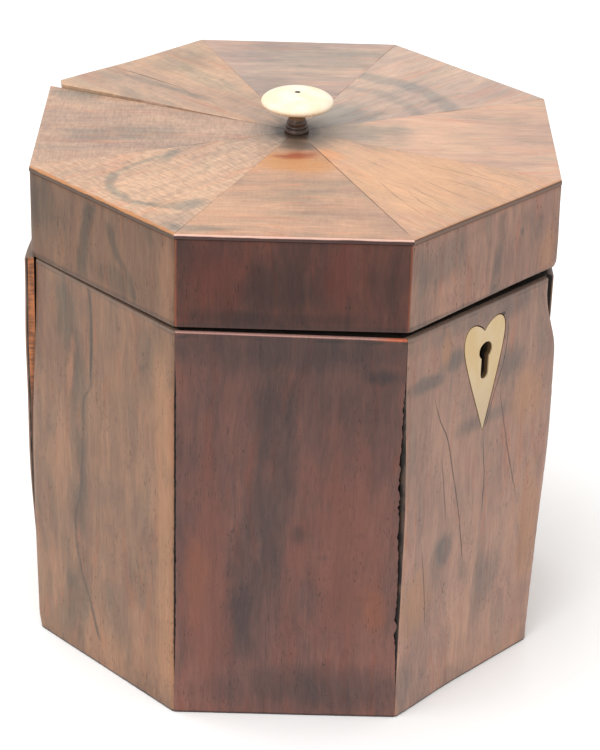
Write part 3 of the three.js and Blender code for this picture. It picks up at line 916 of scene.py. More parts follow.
def lid_front_marks(figure):
    """A grey streak, two knocks and a warm end."""
    smoke = [
        figure.faded(figure.line([(102, 3.6), (110, 4.4), (123, 5)], 1.0, 1.6, 2.0, 2), 0.9),
        figure.patch((-15, 116), (8, 5), 0.7),
        figure.patch((12.2, 115.4), (0.5, 0.9), 1.0),
        figure.patch((3.4, 104.3), (0.6, 0.8), 1.0),
    ]
    tints = [((0.33, 0.17, 0.10), figure.patch((22, 108), (3, 5), 0.6))]
    return {"smoke": smoke, "tints": tints}


LID_MARKS = {"left": lid_left_marks, "front_left": lid_front_left_marks, "front": lid_front_marks}


def body_edges(figure, side):
    """Painted highlights along the worn rim, a dark band below it, and a painted shadow along the foot."""
    f = figure.f
    turn = SIDES.index(side) * TURN
    rise = rim_slope()[1] * math.sin(turn)
    level = rim_height(0, -outer_face(side), turn)
    down = f.math("SUBTRACT", f.math("MULTIPLY_ADD", figure.across, rise, level), figure.along)
    ragged = f.math("MULTIPLY_ADD", figure.ripple, 0.8, down)
    dark_side = side == "front_left"
    patchy = f.noise(figure.point, (6, 6, 3), 2, figure.seed + 81)
    patchy = f.span(patchy, 0.42, 0.6, 0.1, 0.75 if dark_side else 0.45)
    under = f.math("MULTIPLY", figure.band(ragged, 0.7, 1.5 if dark_side else 1.1, 0.3), patchy)
    # painted shadow: a dark line along the foot where the case stands on the floor
    foot = f.span(f.math("MULTIPLY_ADD", figure.ripple, 0.5, figure.along), 0.35, 0.8, 0.75, 0.0)
    tints = [((0.028, 0.02, 0.018), under), ((0.022, 0.018, 0.017), foot)]
    if dark_side:
        # painted highlight: a pink line where the rim's arris catches the light
        tints.append(((0.50, 0.27, 0.23), f.span(down, 0.25, 0.45, 0.75, 0.0)))
        # painted glint: orange-red light on the rim near the corner with the keyhole side
        glint = f.span(figure.across, 16, 24, 0.0, 0.8)
        glint = f.math("MULTIPLY", f.span(down, 0.4, 0.7, 1.0, 0.0), glint)
        tints.append(((0.50, 0.11, 0.04), glint))
    else:
        # painted highlight: a paler grey band where the worn rim edge catches the light
        tints.append(((0.15, 0.115, 0.095), f.span(down, 0.4, 0.9, 0.6, 0.0)))
    return {"tints": tints}


def lid_edges(figure, side):
    """Orange wear down the dark side's corners and dirt along the lower edge."""
    f = figure.f
    low = node_box("lid_veneer_" + side)[0].z
    dirt = f.span(f.math("MULTIPLY_ADD", figure.ripple, 1.2, figure.along), low + 0.2, low + 0.9, 0.4, 0.0)
    tints = [((0.03, 0.022, 0.02), dirt)]
    if side == "front_left":
        out = f.math("ABSOLUTE", figure.across)
        worn = f.span(f.math("MULTIPLY_ADD", figure.ripple, 0.5, out), 24.9, 25.4, 0.0, 0.7)
        tints.append(((0.30, 0.075, 0.03), worn))
    return {"tints": tints}


# Painted light down each side, lighter towards the floor: how much of its colour is kept at its rim and at
# its foot
BODY_PAINTED_LIGHT = {"left": (0.86, 1.16), "front_left": (0.95, 1.75), "front": (1.02, 1.42)}
PLAIN_PAINTED_LIGHT = (0.9, 1.2)
# What the lid's sides keep of the body's colours
LID_SHADE = {"left": (0.72, 0.73, 0.74), "front_left": (0.90, 0.74, 0.68), "front": (1.08, 1.06, 1.06)}
PLAIN_LID_SHADE = (0.8, 0.78, 0.78)


def side_tone(side):
    """Which of the three side veneers a side has."""
    return SIDE_FIGURE.get(side, "tan")


def side_colours(side, colours):
    """The light and the dark colour of a side's veneer."""
    return getattr(colours, side_tone(side) + "_light"), getattr(colours, side_tone(side) + "_dark")


def plain_marks(figure):
    """No marks of a side's own."""
    return {}


def marks_of(side, own, edges):
    """Makes a side's own marks, if it has any, and those along its edges."""

    def marks(figure):
        return joined_marks(own.get(side, plain_marks)(figure), edges(figure, side))

    return marks


class CADDY_OT_body_veneers(bpy.types.Operator):
    """Lay the eight veneers on the body"""

    bl_idname = "caddy.body_veneers"
    bl_label = "Body veneers"

    def execute(self, context):
        sizes, colours = context.scene.caddy_sizes, context.scene.caddy_colours
        raw, glued = raw_edge_finish(colours), glued_edge_finish("glued_body_edge", colours)
        for i, side in enumerate(SIDES):
            light, dark = side_colours(side, colours)
            marks = marks_of(side, BODY_MARKS, body_edges)
            finish = veneer_finish(
                "body_veneer_" + side, light, dark, colours, i * 2.7 + 1, marks,
                painted_light=BODY_PAINTED_LIGHT.get(side, PLAIN_PAINTED_LIGHT), gloss=0.3,
            )
            sheet = SideSheet(side, "body_veneer_" + side, sizes, body_end, body_lift, True)
            piece = sheet.make("body_sheet_" + side, [finish, raw, glued], "case")
            if side == "front":
                apothem = face_apothem()
                heart = outline_loops("heart_escutcheon")[0]
                cut_outline(piece, heart, 0.3, (apothem - 4, apothem + 3))
        return {"FINISHED"}


class CADDY_OT_lid_veneers(bpy.types.Operator):
    """Lay the eight veneers on the lid's sides"""

    bl_idname = "caddy.lid_veneers"
    bl_label = "Lid side veneers"

    def execute(self, context):
        sizes, colours = context.scene.caddy_sizes, context.scene.caddy_colours
        glued = glued_edge_finish("glued_lid_edge", colours)
        for i, side in enumerate(SIDES):
            shade = LID_SHADE.get(side, PLAIN_LID_SHADE)
            light, dark = ([a * b for a, b in zip(tone, shade)] for tone in side_colours(side, colours))
            marks = marks_of(side, LID_MARKS, lid_edges)
            finish = veneer_finish(
                "lid_veneer_" + side, light, dark, colours, i * 2.7 + 2, marks, gloss=0.22
            )
            sheet = SideSheet(side, "lid_veneer_" + side, sizes, lid_end, no_lift, False)
            sheet.make("lid_sheet_" + side, [finish, glued, glued], "lid")
        return {"FINISHED"}


# ---- top veneers ----


def tip_loss(side, y):
    """How much is broken off the loose top veneer's corner."""
    if side != "back":
        return 0.0
    edge = -y - (face_apothem() - 2.6)
    return max(edge, 0) * 1.15 + (0.15 * blob_noise(y * 2.0, 5.0, 1.0) if edge > 0 else 0)


def top_lift(side, x, y, sizes):
    """How far a top veneer stands up from its board."""
    if side != "back":
        return 0.0
    outward = -y / face_apothem()
    across = x / max(-y * MITRE, 1)
    return sizes.lifted_tip / MM * smooth(outward, 0.04, 0.9) * smooth(across, -0.3, 1.0)


# The radius of each top veneer's worn outer edge
EDGE_WEAR = {"left": 0.6, "front": 0.3, "front_left": 0.32}
PLAIN_EDGE_WEAR = 0.35
LOOSE_SEAM_GAP = 0.5


def top_sheet(side, sizes, material):
    """One of the eight veneers that meet at the knob, worn round at its outer edge."""
    node = "top_veneer_" + side
    low, high = node_box(node)
    bottom, top = low.z, high.z
    outer, inner = outer_face(side) + 0.1, 2.0
    wear = EDGE_WEAR.get(side, PLAIN_EDGE_WEAR)
    columns = 24
    seed = SIDES.index(side) * 7.9
    left_slope = corner_reach(side, -1) / outer_face(side)
    right_slope = corner_reach(side, 1) / outer_face(side)
    right_gap = LOOSE_SEAM_GAP if side == "back" else 0.0
    rings = []
    for distance, drawn in rounded_rows(inner, outer, 0.9, wear):
        if distance < inner + 1:
            drawn = 0.0
        y = -distance
        left = -distance * left_slope
        right = distance * right_slope - right_gap / 2 - tip_loss(side, y)
        soft = min(0.07, (right - left) * 0.2)
        dip = abs(blob_noise(distance * 0.1, seed, 3.0)) * 0.03
        ring = []
        for i in range(columns + 1):
            x = left + soft + (right - left - 2 * soft) * i / columns
            wave = sizes.wobble / MM * blob_noise(x * 0.07 + seed, distance * 0.06, 2.2)
            chip = 0.0
            if side == "left" and drawn > 0:
                chip = 0.3 * max(blob_noise(x * 0.9, 2.0, seed), 0)
            ring.append((x, y, top - drawn - dip + wave - chip))
        ring.append((right, y, top - soft - drawn - dip))
        ring.append((right, y, bottom))
        ring.append((left, y, bottom))
        ring.append((left, y, top - soft - drawn - dip))
        rings.append([(x, py, z + top_lift(side, x, py, sizes)) for x, py, z in ring])
    points, faces, _ = loft(rings)
    turn = SIDES.index(side) * TURN
    piece = new_piece("top_sheet_" + side, points, faces, "lid", [material], turn)
    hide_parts(node)


# The colour of each top veneer's outer edge below its worn arris
TOP_EDGE_COLOUR = {
    # the left edge is dark as painted shadow in the joint under its orange arris
    "left": (0.085, 0.048, 0.03),
    "front_left": (0.05, 0.018, 0.014),
    "front": (0.15, 0.085, 0.06),
}
PLAIN_EDGE_COLOUR = (0.13, 0.08, 0.055)


def top_edges(figure, side):
    """Wear and painted highlights along the outer edge, painted shadow round the knob and a dark ring at
    the stem's foot.
    """
    f = figure.f
    out = f.math("MULTIPLY", figure.along, -1.0)
    ragged = f.math("MULTIPLY_ADD", figure.ripple, 1.6, out)
    edge = outer_face(side)
    knob = f.vector("LENGTH", f.joined(figure.across, figure.along, 0.0))
    # painted shadow round the knob, laid on as smoke
    darkening = f.span(f.math("MULTIPLY_ADD", figure.ripple, 9.0, knob), 4.5, 15.0, 0.95, 0.0)
    # a dark ring at the stem's foot
    stem_foot_ring = f.span(f.math("MULTIPLY_ADD", figure.ripple, 2.0, knob), 4.0, 6.6, 0.8, 0.0)
    marks = {"smoke": [darkening], "tints": [((0.05, 0.034, 0.026), stem_foot_ring)]}
    top = node_box("top_veneer_" + side)[1].z
    face = f.math("MULTIPLY_ADD", figure.ripple, 0.5, figure.deep)
    below = f.span(face, top - 0.5, top - 0.3, 1.0, 0.0)
    below = f.math("MULTIPLY", below, f.span(out, edge - 0.7, edge - 0.3))
    if side == "left":
        marks["tints"].append(((0.42, 0.17, 0.055), f.span(ragged, edge - 0.9, edge - 0.2, 0.0, 0.85)))
    elif side == "front":
        marks["tints"].append(((0.38, 0.17, 0.075), f.span(ragged, edge - 0.6, edge - 0.1, 0.0, 0.6)))
        marks["tints"].append(((0.06, 0.025, 0.015), f.span(out, edge - 0.1, edge + 0.1, 0.0, 0.9)))
    elif side == "front_left":
        # painted highlight: a thin pinkish line where the arris catches the light
        marks["tints"].append(((0.80, 0.50, 0.42), f.span(out, edge - 0.12, edge - 0.03, 0.0, 0.75)))
    marks["tints"].append((TOP_EDGE_COLOUR.get(side, PLAIN_EDGE_COLOUR), below))
    return marks


def top_left_marks(figure):
    """A grey loop and a curl in the orange segment."""
    smoke = [
        figure.faded(figure.ring((2.5, -46), 11.8, 1.25, 0.9, 1.8, -176, 6), 0.9),
        figure.faded(figure.line([(-51, -9.4), (-40, -9.6), (-30, -8.6)], 0.3, 1.0, 2.5, 4), 0.85),
        figure.patch((-9, -32), (1.5, 4.5), 1.0, -0.2),
        figure.patch((14, -48), (3, 4), 0.9, 0.4),
        figure.patch((21, -57.5), (3, 2.0), 1.0),
    ]
    return {"smoke": smoke}


def top_front_left_marks(figure):
    """A painted red glow in the polish in front of the knob, and a painted dark reflection of the stem
    nearer the knob.
    """
    # painted light: the red glow in the polish and its redder middle
    glow = figure.spot((0, -18.0), (9.5, 6.0), 0.0, 0.6)
    deep = figure.spot((0.6, -14.2), (4.2, 2.4), 0.0, 0.6)
    # painted reflection: the dark stem mirrored in the polish
    dull = figure.spot((0, -8.8), (6.0, 4.2), 0.0, 0.5)
    tints = [
        ((0.50, 0.22, 0.075), figure.faded(glow, 0.65)),
        ((0.26, 0.05, 0.024), figure.faded(deep, 0.8)),
        ((0.13, 0.10, 0.08), figure.faded(dull, 0.75)),
    ]
    return {"smoke": [figure.patch((-18, -56), (6, 1.6), 1.0)], "tints": tints}


def top_front_marks(figure):
    """Fine drying cracks that fan out from the knob, and the open joint beside them."""
    # How far across the segment each crack lies near the knob and at the outer edge
    fan = ((-3.0, -14.0), (-2.0, -9.5), (-1.2, -5.5), (0.6, 1.0), (1.8, 7.5), (3.4, 14.5), (4.2, 19.0))
    cracks = []
    for near, far in fan:
        start = -34 - 8 * math.sin(near * 5)
        route = [(-58, far), (-46, (far + near) * 0.66), (start, near * 1.6)]
        cracks.append(figure.faded(figure.line(route, 0.02, 0.16, 0.8, 9), 0.8))
    seam = figure.line([(-59, -23.3), (-33, -13.0), (-7, -2.7)], 0.14, 0.2, 0.1, 3)
    cracks.append(figure.faded(seam, 0.8))
    warm = figure.patch((0, -40), (16, 20), 0.5)
    # painted light: the red glow in front of the knob, reaching over the seam
    glow = figure.patch((-4.6, -15.5), (2.4, 3.6), 0.55)
    return {"tints": [((0.60, 0.33, 0.17), warm), ((0.62, 0.26, 0.10), glow)], "cracks": cracks}


def top_front_right_marks(figure):
    """Painted shadow cast by the knob."""
    # painted shadow cast by the knob
    return {"smoke": [figure.patch((-1, -10), (7, 14), 1.0, 0.0, 0.5)]}


def top_right_marks(figure):
    """Grey bands across the grain, and painted shadow cast by the knob."""
    smoke = [
        figure.faded(figure.ring((0, -8), 33, 1.0, 2.0, 2.4, -150, -30), 0.7),
        figure.faded(figure.ring((0, -8), 24, 1.0, 1.0, 2.4, -150, -30), 0.5),
        # painted shadow cast by the knob
        figure.patch((0, -10), (9, 14), 1.0, 0.0, 0.5),
    ]
    return {"smoke": smoke}


def top_back_right_marks(figure):
    """Broad grey over the far segment: painted reflection of the pale background, with painted shade by its
    seam with the back.
    """
    # painted reflection and shade, laid on as smoke
    smoke = [
        figure.patch((8, -30), (12, 16), 0.6, 0.2, 0.7),
        figure.patch((-4, -50), (20, 9), 0.7, 0.0, 0.6),
    ]
    return {"smoke": smoke}


def top_back_marks(figure):
    """A grey streak and a drying split in the loose segment."""
    smoke = [
        figure.faded(figure.line([(-58, 8), (-44, 5), (-24, 2)], 0.8, 1.6, 3.0, 9), 0.8),
        figure.patch((-10, -52), (8, 6), 0.6),
    ]
    split = figure.line([(-60, 5.5), (-48, 3.5), (-34, 1.5)], 0.04, 0.25, 0.6, 7)
    return {"smoke": smoke, "cracks": [split]}


def top_back_left_marks(figure):
    """A broad grey column."""
    smoke = [
        figure.faded(figure.line([(-58, 6), (-40, 4), (-24, 3)], 4.0, 4.0, 5.0, 8), 0.7),
        figure.patch((-20, -52), (4, 6), 0.8),
    ]
    return {"smoke": smoke}


TOP_MARKS = {
    "left": top_left_marks,
    "front_left": top_front_left_marks,
    "front": top_front_marks,
    "front_right": top_front_right_marks,
    "right": top_right_marks,
    "back_right": top_back_right_marks,
    "back": top_back_marks,
    "back_left": top_back_left_marks,
}
# How warm and how light each top segment is beside the rest
TOP_TONE = {
    "left": (0.98, 1.0, 1.0),
    "front_left": (0.90, 0.85, 0.82),
    "front": (0.97, 0.93, 0.90),
    "front_right": (1.02, 1.02, 1.08),
    # the right and back_right segments are bluer as painted reflection of the pale background
    "right": (0.94, 1.05, 1.20),
    "back_right": (0.93, 1.0, 1.14),
    "back": (0.92, 0.94, 0.94),
    "back_left": (0.84, 0.87, 0.92),
}
# The segments whose grain doesn't run out from the knob
TOP_GRAIN = {"front_left": "X", "back_right": "X"}
TOP_CURL = {"left": 0.5, "back_left": 0.35, "back": 0.2, "front": 0.12, "front_left": 0.12}


class CADDY_OT_top_veneers(bpy.types.Operator):
    """Lay the eight veneers that meet at the knob"""

    bl_idname = "caddy.top_veneers"
    bl_label = "Top veneers"

    def execute(self, context):
        sizes, colours = context.scene.caddy_sizes, context.scene.caddy_colours
        for i, side in enumerate(SIDES):
            tone = TOP_TONE[side]
            light = [a * b for a, b in zip(colours.top_light, tone)]
            dark = [a * b for a, b in zip(colours.top_dark, tone)]
            marks = marks_of(side, TOP_MARKS, top_edges)
            finish = veneer_finish(
                "top_veneer_" + side, light, dark, colours, i * 3.1 + 3, marks,
                grain=TOP_GRAIN.get(side, "Y"), curl=TOP_CURL.get(side, 0.0), pits=0.3,
            )
            top_sheet(side, sizes, finish)
        return {"FINISHED"}


# ---- carcass and linings ----


def carcass_finish(colours):
    """Softwood boards, clean inside and black with glue where the veneers lay, and over the rim's top
    partly as painted shade.
    """
    f = Finish("carcass_boards")
    point = f.place()
    dark = tuple(c * 0.55 for c in colours.carcass)
    colour, _, fibre = wood_colour(f, point, 4, colours.carcass, dark)
    x, y, _ = f.axes(point)
    outward = []
    for i in range(len(SIDES) // 2):
        angle = i * TURN
        reach = f.math("MULTIPLY_ADD", x, math.cos(angle), f.math("MULTIPLY", y, math.sin(angle)))
        outward.append(f.math("ABSOLUTE", reach))
    apothem = outward[0]
    for reach in outward[1:]:
        apothem = f.math("MAXIMUM", apothem, reach)
    # the black over the rim's top is partly old glue and partly painted shade in the gap under the lid
    glued = f.math("MULTIPLY_ADD", f.noise(point, (3, 3, 3), 3, 12), 4.0, apothem)
    colour = f.blend(f.span(glued, 51.5, 57.5), colour, colours.glue)
    dirt = f.span(f.noise(point, (6, 6, 6), 4, 9), 0.4, 0.7, 0.0, 0.55)
    colour = f.blend(dirt, colour, (0.05, 0.032, 0.02))
    return f.finish(colour, 0.7, fibre, 0.00004)


def foil_finish(colours):
    """Old lead foil, dull and blotched with oxide."""
    f = Finish("lead_foil")
    point = f.place()
    cloud = f.noise(point, (9, 9, 9), 5, 2, rough=0.65)
    colour = f.blend(f.span(cloud, 0.34, 0.70), tuple(c * 0.6 for c in colours.foil), colours.foil)
    brown = f.span(f.noise(point, (5, 5, 5), 4, 7), 0.55, 0.7, 0.0, 0.5)
    colour = f.blend(brown, colour, (0.12, 0.085, 0.055))
    rough = f.span(cloud, 0.35, 0.7, 0.62, 0.38)
    creases = f.noise(point, (2.2, 2.2, 2.2), 4, 4, distortion=1.2, rough=0.6)
    return f.finish(colour, rough, creases, 0.0003, metallic=0.85)


def foil_cup(name, node, body, finish, up):
    """A crumpled foil lining. up is 1 for the tea well and -1 for the lid's, which opens downwards."""
    low, high = node_box(node)
    outer = high.x
    thick = 0.5
    floor, rim = (low.z, high.z) if up > 0 else (high.z, low.z)
    per_side = 14
    rows = 30
    crumple = 0.35

    def around(apothem, z, wrinkle):
        """The lining's octagonal outline at a height, dented between its corners."""
        ring = []
        for k in range(len(SIDES)):
            for i in range(per_side):
                x = (2 * i / per_side - 1) * apothem * MITRE
                near_corner = 1 - abs(2 * i / per_side - 1) ** 4
                dent = wrinkle * near_corner * (0.5 + 0.5 * blob_noise(x * 0.22 + k * 9, z * 0.18, 2.0))
                y = dent - apothem
                cos, sin = math.cos(k * TURN), math.sin(k * TURN)
                ring.append((x * cos - y * sin, x * sin + y * cos, z))
        return ring

    rings = []
    for share in (0.02, 0.3, 0.6, 0.9, 1.0):
        rings.append(around(outer * share, floor, 0.0))
    for i in range(1, rows + 1):
        rings.append(around(outer, floor + (rim - floor) * i / rows, 0.0))
    for i in range(rows, 0, -1):
        rings.append(around(outer - thick, floor + (rim - floor) * max(i / rows, 0.012), crumple))
    for share in (0.97, 0.8, 0.6, 0.4, 0.2, 0.02):
        ring = []
        for x, y, z in around((outer - thick) * share, floor + up * thick, 0.0):
            ring.append((x, y, z + up * crumple * abs(blob_noise(x * 0.12, y * 0.12, 5.0))))
        rings.append(ring)
    points, faces, _ = loft(rings)
    piece = new_piece(name, points, faces, body, [finish])
    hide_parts(node)
    return piece


class CADDY_OT_carcass(bpy.types.Operator):
    """Finish the boards and lay the foil linings"""

    bl_idname = "caddy.carcass"
    bl_label = "Carcass and linings"

    def execute(self, context):
        colours = context.scene.caddy_colours
        boards = carcass_finish(colours)
        for side in SIDES:
            paint("body_board_" + side, boards)
            paint("lid_board_" + side, boards)
        paint("base_board", boards)
        paint("lid_top_board", boards)
        foil = foil_finish(colours)
        well = foil_cup("tea_well_foil", "foil_lining", "case", foil, 1)
        low, high = node_box("lock_case")
        room, above = 0.2, 5
        left, right = low.x - room, high.x + room
        bottom, top = low.z - room, high.z + above
        opening = [(left, bottom), (right, bottom), (right, top), (left, top)]
        cut_outline(well, opening, 0.0, (face_apothem() - 12, face_apothem()))
        foil_cup("lid_foil", "lid_lining", "lid", foil, -1)
        return {"FINISHED"}


# ---- bone, stem, brass and iron ----


def bone_finish(name, colours, tone, stained_from=None):
    """Polished bone: creamy, with faint grey canals along its length.

    From the depth stained_from it is brown, as inside a keyhole, and its lower end is grimy.
    """
    f = Finish(name)
    point = f.place()
    _, y, z = f.axes(point)
    cloud = f.noise(point, (5, 5, 9), 3, 6)
    canals = f.noise(point, (0.35, 0.35, 2.4), 2, 12)
    light = tuple(a * b for a, b in zip(colours.bone, tone))
    warm = (light[0] * 0.97, light[1] * 0.90, light[2] * 0.74)
    colour = f.blend(f.span(cloud, 0.35, 0.7), light, warm)
    colour = f.blend(f.span(canals, 0.64, 0.78, 0.0, 0.35), colour, (0.34, 0.28, 0.17))
    if stained_from is not None:
        darkening = f.span(y, stained_from, stained_from + 0.35, 0.0, 0.93)
        colour = f.blend(darkening, colour, (0.09, 0.045, 0.022))
        colour = f.blend(f.span(z, 70, 86, 0.4, 0.0), colour, (0.36, 0.26, 0.17))
    rough = f.span(cloud, 0.3, 0.7, 0.28, 0.42)
    return f.finish(colour, rough, canals, 0.00001)


def metal_finish(name, colour, seed, dark=0.35, rough=(0.3, 0.55)):
    """Worn metal with tarnish and fine file marks."""
    f = Finish(name)
    point = f.place()
    cloud = f.noise(point, (3, 3, 3), 4, seed, rough=0.65)
    marks = f.noise(point, (4.0, 0.18, 0.18), 2, seed + 5)
    tarnish = f.span(cloud, 0.36, 0.66)
    shade = f.blend(tarnish, tuple(c * dark for c in colour), tuple(colour))
    roughness = f.span(cloud, 0.3, 0.7, rough[1], rough[0])
    return f.finish(shade, roughness, marks, 0.00001, metallic=0.9)


def stem_finish(colours, neck_from):
    """A dark turned stem, lighter on its rings and golden at its neck."""
    f = Finish("turned_stem")
    point = f.place()
    cloud = f.noise(point, (1.5, 1.5, 0.5), 3, 3)
    z = f.axes(point)[2]
    rings = f.noise(f.joined(0.0, 0.0, z), (1, 1, 0.7), 2, 8)
    tone = f.span(f.math("MULTIPLY_ADD", rings, 0.6, f.math("MULTIPLY", cloud, 0.4)), 0.42, 0.62)
    colour = f.blend(tone, colours.stem, tuple(c * 2.6 for c in colours.stem))
    golden = f.span(z, neck_from, neck_from + 0.8, 0.0, 0.75)
    colour = f.blend(golden, colour, (0.22, 0.11, 0.04))
    return f.finish(colour, f.span(cloud, 0.3, 0.7, 0.25, 0.45), cloud, 0.00002)


class CADDY_OT_escutcheon(bpy.types.Operator):
    """Finish the heart-shaped escutcheon"""

    bl_idname = "caddy.escutcheon"
    bl_label = "Escutcheon"

    def execute(self, context):
        yellowed = (0.71, 0.59, 0.47)
        stained_from = -face_apothem() + 0.12
        bone = bone_finish("escutcheon_bone", context.scene.caddy_colours, yellowed, stained_from)
        paint("heart_escutcheon", bone)
        bevel("heart_escutcheon", 0.12)
        return {"FINISHED"}


class CADDY_OT_knob(bpy.types.Operator):
    """Turn the knob's disc and stem"""

    bl_idname = "caddy.knob"
    bl_label = "Knob"

    def execute(self, context):
        colours = context.scene.caddy_colours
        self.turn_cap(bone_finish("knob_bone", colours, (1.04, 1.02, 1.14)))
        self.turn_stem(stem_finish(colours, node_box("top_veneer_front")[1].z + 2.9))
        paint("knob_pin", metal_finish("knob_pin_iron", (0.10, 0.09, 0.08), 3))
        bevel("knob_pin", 0.15)
        return {"FINISHED"}

    def turn_cap(self, finish):
        low, high = node_box("knob_cap")
        radius = high.x
        hole = 0.72
        rim = low.z + (high.z - low.z) * 0.45
        crown, belly = high.z - rim, rim - low.z + 0.03
        profile = []
        start, stop = -math.acos(2.15 / radius), math.acos(hole / radius)
        for i in range(41):
            angle = start + (stop - start) * i / 40
            rise = crown if angle > 0 else belly
            bulge = 1 + 0.04 * math.sin(2 * angle) ** 2
            profile.append((radius * math.cos(angle), rim + rise * math.sin(angle) * bulge))
        profile.append((hole, profile[0][1]))
        points, faces = lathe(profile)
        piece = new_piece("knob_disc", points, faces, "lid", [finish])
        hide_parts("knob_cap")

    def turn_stem(self, finish):
        low, high = node_box("knob_stem")
        lid = node_box("top_veneer_front")[1].z + 0.1
        top = high.z
        foot = high.x
        spigot, neck, hole, sunk = 1.6, 1.9, 0.7, 3.1
        mouldings = [
            (foot, 0.0), (foot + 0.02, 0.3), (foot - 0.05, 0.62), (foot - 0.22, 0.86),
            (foot - 0.3, 1.0), (foot - 0.24, 1.2), (foot - 0.3, 1.5), (foot - 0.44, 1.74),
            (foot - 0.62, 1.9), (foot - 0.62, 2.02), (foot - 0.5, 2.12), (foot - 0.46, 2.3),
            (foot - 0.55, 2.5), (foot - 0.78, 2.75), (neck + 0.12, 3.1), (neck, 3.5), (neck, 4.2),
        ]
        profile = [(0.02, low.z), (spigot, low.z), (spigot, lid)]
        profile += [(radius, lid + rise) for radius, rise in mouldings]
        profile += [(neck + 0.1, top), (hole, top), (hole, top - sunk), (0.02, top - sunk)]
        points, faces = lathe(profile, 64)
        piece = new_piece("knob_turning", points, faces, "lid", [finish])
        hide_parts("knob_stem")


def screw_head(name, place, radius, face_up, body, finish):
    """A slotted round-topped screw head, standing a quarter of a millimetre proud."""
    steps = 28
    proud, slot_width, slot_depth = 0.25, 0.4, 0.16
    crown = [(0.93, 0.55), (0.75, 0.85), (0.4, 1.0)]
    rows = [(radius, -0.5), (radius, 0.0)] + [(radius * share, proud * rise) for share, rise in crown]
    rings = []
    for r, rise in rows:
        ring = []
        for i in range(steps):
            angle = 2 * math.pi * i / steps
            x, y = r * math.cos(angle), r * math.sin(angle)
            cut = slot_depth if rise > 0 and abs(y) < slot_width / 2 else 0.0
            ring.append((place[0] + x, place[1] + y, place[2] + face_up * (rise - cut)))
        rings.append(ring)
    points, faces, _ = loft(rings)
    return new_piece(name, points, faces, body, [finish])


class CADDY_OT_hinges(bpy.types.Operator):
    """Finish the two butt hinges and add their screws"""

    bl_idname = "caddy.hinges"
    bl_label = "Hinges"

    def execute(self, context):
        colours = context.scene.caddy_colours
        brass = metal_finish("hinge_brass", colours.brass, 21)
        iron = metal_finish("iron_pins", colours.iron, 8)
        for hinge in ("hinge_left", "hinge_right"):
            for leaf in ("_body_leaf", "_lid_leaf"):
                paint(hinge + leaf, brass)
                bevel(hinge + leaf, 0.12)
            paint(hinge + "_pin", iron)
            bevel(hinge + "_pin", 0.15)
            self.add_screws(hinge, iron)
        return {"FINISHED"}

    def add_screws(self, hinge, iron):
        for leaf, body, face_up in (("_body_leaf", "case", 1), ("_lid_leaf", "lid", -1)):
            low, high = node_box(hinge + leaf)
            barrel_side = 3.3
            barrel_height = 1.85
            flat = high.z - barrel_height if face_up > 0 else low.z + barrel_height
            middle = (low.x + high.x) / 2
            for i, offset in enumerate((-4.4, 4.4)):
                place = (middle + offset, (low.y + high.y - barrel_side) / 2, flat)
                screw_head(f"{hinge}{leaf}_screw_{i + 1}", place, 1.15, face_up, body, iron)


class CADDY_OT_lock(bpy.types.Operator):
    """Finish the lock, its bolt and the link plate"""

    bl_idname = "caddy.lock"
    bl_label = "Lock"

    def execute(self, context):
        colours = context.scene.caddy_colours
        brass = metal_finish("lock_brass", tuple(c * 0.9 for c in colours.brass), 33, 0.3)
        iron = metal_finish("lock_iron", colours.iron, 14)
        for node in ("lock_case", "lock_bolt", "link_plate", "lock_screw_left", "lock_screw_right"):
            paint(node, brass)
            bevel(node, 0.08)
        paint("lock_spring", iron)
        low, high = node_box("link_plate")
        inset, thick = 1.8, 1.2
        for i, x in enumerate((low.x + inset, high.x - inset)):
            place = (x, (low.y + high.y) / 2, high.z - thick)
            screw_head(f"link_plate_screw_{i + 1}", place, 1.1, -1, "lid", brass)
        return {"FINISHED"}


# ---- studio ----


def floor_finish():
    """A pale matt floor, very slightly cloudy."""
    f = Finish("pale_floor")
    point = f.place()
    cloud = f.noise(point, (300, 300, 300), 3, 1)
    colour = f.blend(f.span(cloud, 0.3, 0.7), (0.93, 0.925, 0.92), (0.95, 0.948, 0.945))
    return f.finish(colour, 0.85)


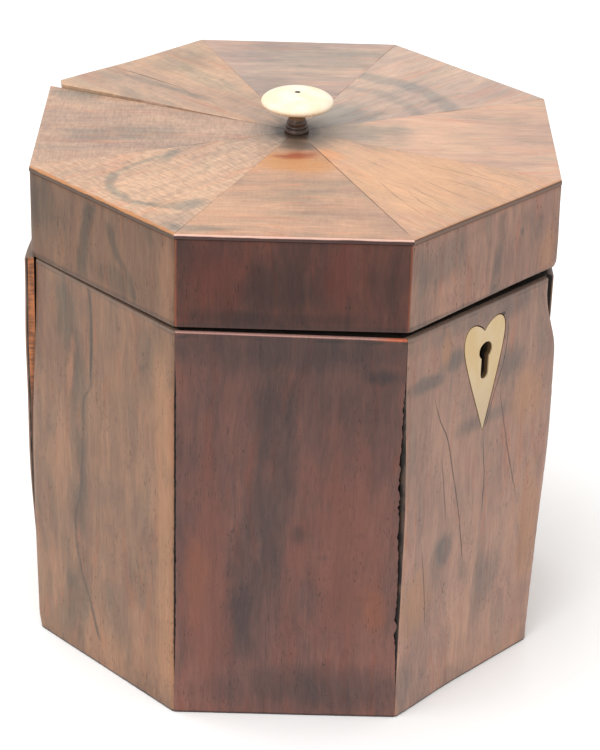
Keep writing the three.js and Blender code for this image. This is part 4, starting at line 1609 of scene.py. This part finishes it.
class CADDY_OT_studio(bpy.types.Operator):
    """Set up the floor, the soft lights and the camera"""

    bl_idname = "caddy.studio"
    bl_label = "Studio"

    def execute(self, context):
        scene = context.scene
        self.lay_floor()
        self.set_world(scene)
        self.hang_light("overhead_softbox", (-0.25, 0.15, 1.15), (0, 0, 0.1), size=1.1, power=9.0)
        self.hang_light("left_softbox", (-1.3, -0.35, 0.75), (0, 0, 0.06), size=0.8, power=4.0)
        self.place_camera(scene)
        scene.view_settings.view_transform = "Standard"
        return {"FINISHED"}

    def lay_floor(self):
        half = 4.0
        corners = [(-half, -half, 0), (half, -half, 0), (half, half, 0), (-half, half, 0)]
        mesh = bpy.data.meshes.new("floor")
        mesh.from_pydata(corners, [], [(0, 1, 2, 3)])
        mesh.materials.append(floor_finish())
        floor = added_object("floor", mesh)

    def set_world(self, scene):
        world = bpy.data.worlds.new("pale_room")
        world.use_nodes = True
        background = world.node_tree.nodes["Background"]
        background.inputs["Color"].default_value = (1.0, 0.995, 0.985, 1)
        background.inputs["Strength"].default_value = 0.9
        scene.world = world

    def hang_light(self, name, place, target, size, power):
        light = bpy.data.lights.new(name, "AREA")
        light.size = size
        light.energy = power
        holder = added_object(name, light)
        holder.location = place
        holder.rotation_euler = (Vector(target) - Vector(place)).to_track_quat("-Z", "Y").to_euler()

    def place_camera(self, scene):
        """Looks down at the corner between the keyhole side and the one left of it."""
        azimuth, elevation, roll = (math.radians(a) for a in (-45.366, 27.904, 1.654))
        level = math.cos(elevation)
        back = Vector((math.sin(azimuth) * level, -math.cos(azimuth) * level, math.sin(elevation)))
        right = Vector((math.cos(azimuth), math.sin(azimuth), 0))
        target = Vector((0.0218, 0.0181, 0.0447))
        distance = 0.6386
        data = bpy.data.cameras.new("camera")
        data.sensor_width = 36
        data.lens = 118.2
        data.clip_start, data.clip_end = 0.01, 50
        camera = added_object("camera", data)
        up = back.cross(right)
        turned_right = right * math.cos(roll) + up * math.sin(roll)
        turned_up = up * math.cos(roll) - right * math.sin(roll)
        camera.matrix_world = matrix_of(turned_right, turned_up, back, target + back * distance)
        scene.camera = camera


def matrix_of(right, up, back, place):
    """The matrix of an object with these axes at a place."""
    rows = [(right[i], up[i], back[i], place[i]) for i in range(3)]
    return Matrix((*rows, (0, 0, 0, 1)))


# ---- panel and registration ----

STEPS = (
    CADDY_OT_body_veneers,
    CADDY_OT_lid_veneers,
    CADDY_OT_top_veneers,
    CADDY_OT_carcass,
    CADDY_OT_escutcheon,
    CADDY_OT_knob,
    CADDY_OT_hinges,
    CADDY_OT_lock,
    CADDY_OT_studio,
)


class CADDY_PT_panel(bpy.types.Panel):
    """Lists the steps in the sidebar"""

    bl_idname = "CADDY_PT_panel"
    bl_label = "Tea Caddy"
    bl_space_type = "VIEW_3D"
    bl_region_type = "UI"
    bl_category = "Tea Caddy"

    def draw(self, context):
        for step in STEPS:
            self.layout.operator(step.bl_idname)


CLASSES = (CaddySizes, CaddyColours, *STEPS, CADDY_PT_panel)


def register():
    for cls in CLASSES:
        bpy.utils.register_class(cls)
    bpy.types.Scene.caddy_sizes = bpy.props.PointerProperty(type=CaddySizes)
    bpy.types.Scene.caddy_colours = bpy.props.PointerProperty(type=CaddyColours)


def unregister():
    del bpy.types.Scene.caddy_sizes
    del bpy.types.Scene.caddy_colours
    for cls in reversed(CLASSES):
        bpy.utils.unregister_class(cls)


def main():
    register()
    bpy.ops.caddy.body_veneers()
    bpy.ops.caddy.lid_veneers()
    bpy.ops.caddy.top_veneers()
    bpy.ops.caddy.carcass()
    bpy.ops.caddy.escutcheon()
    bpy.ops.caddy.knob()
    bpy.ops.caddy.hinges()
    bpy.ops.caddy.lock()
    bpy.ops.caddy.studio()


if __name__ == "__main__":
    main()
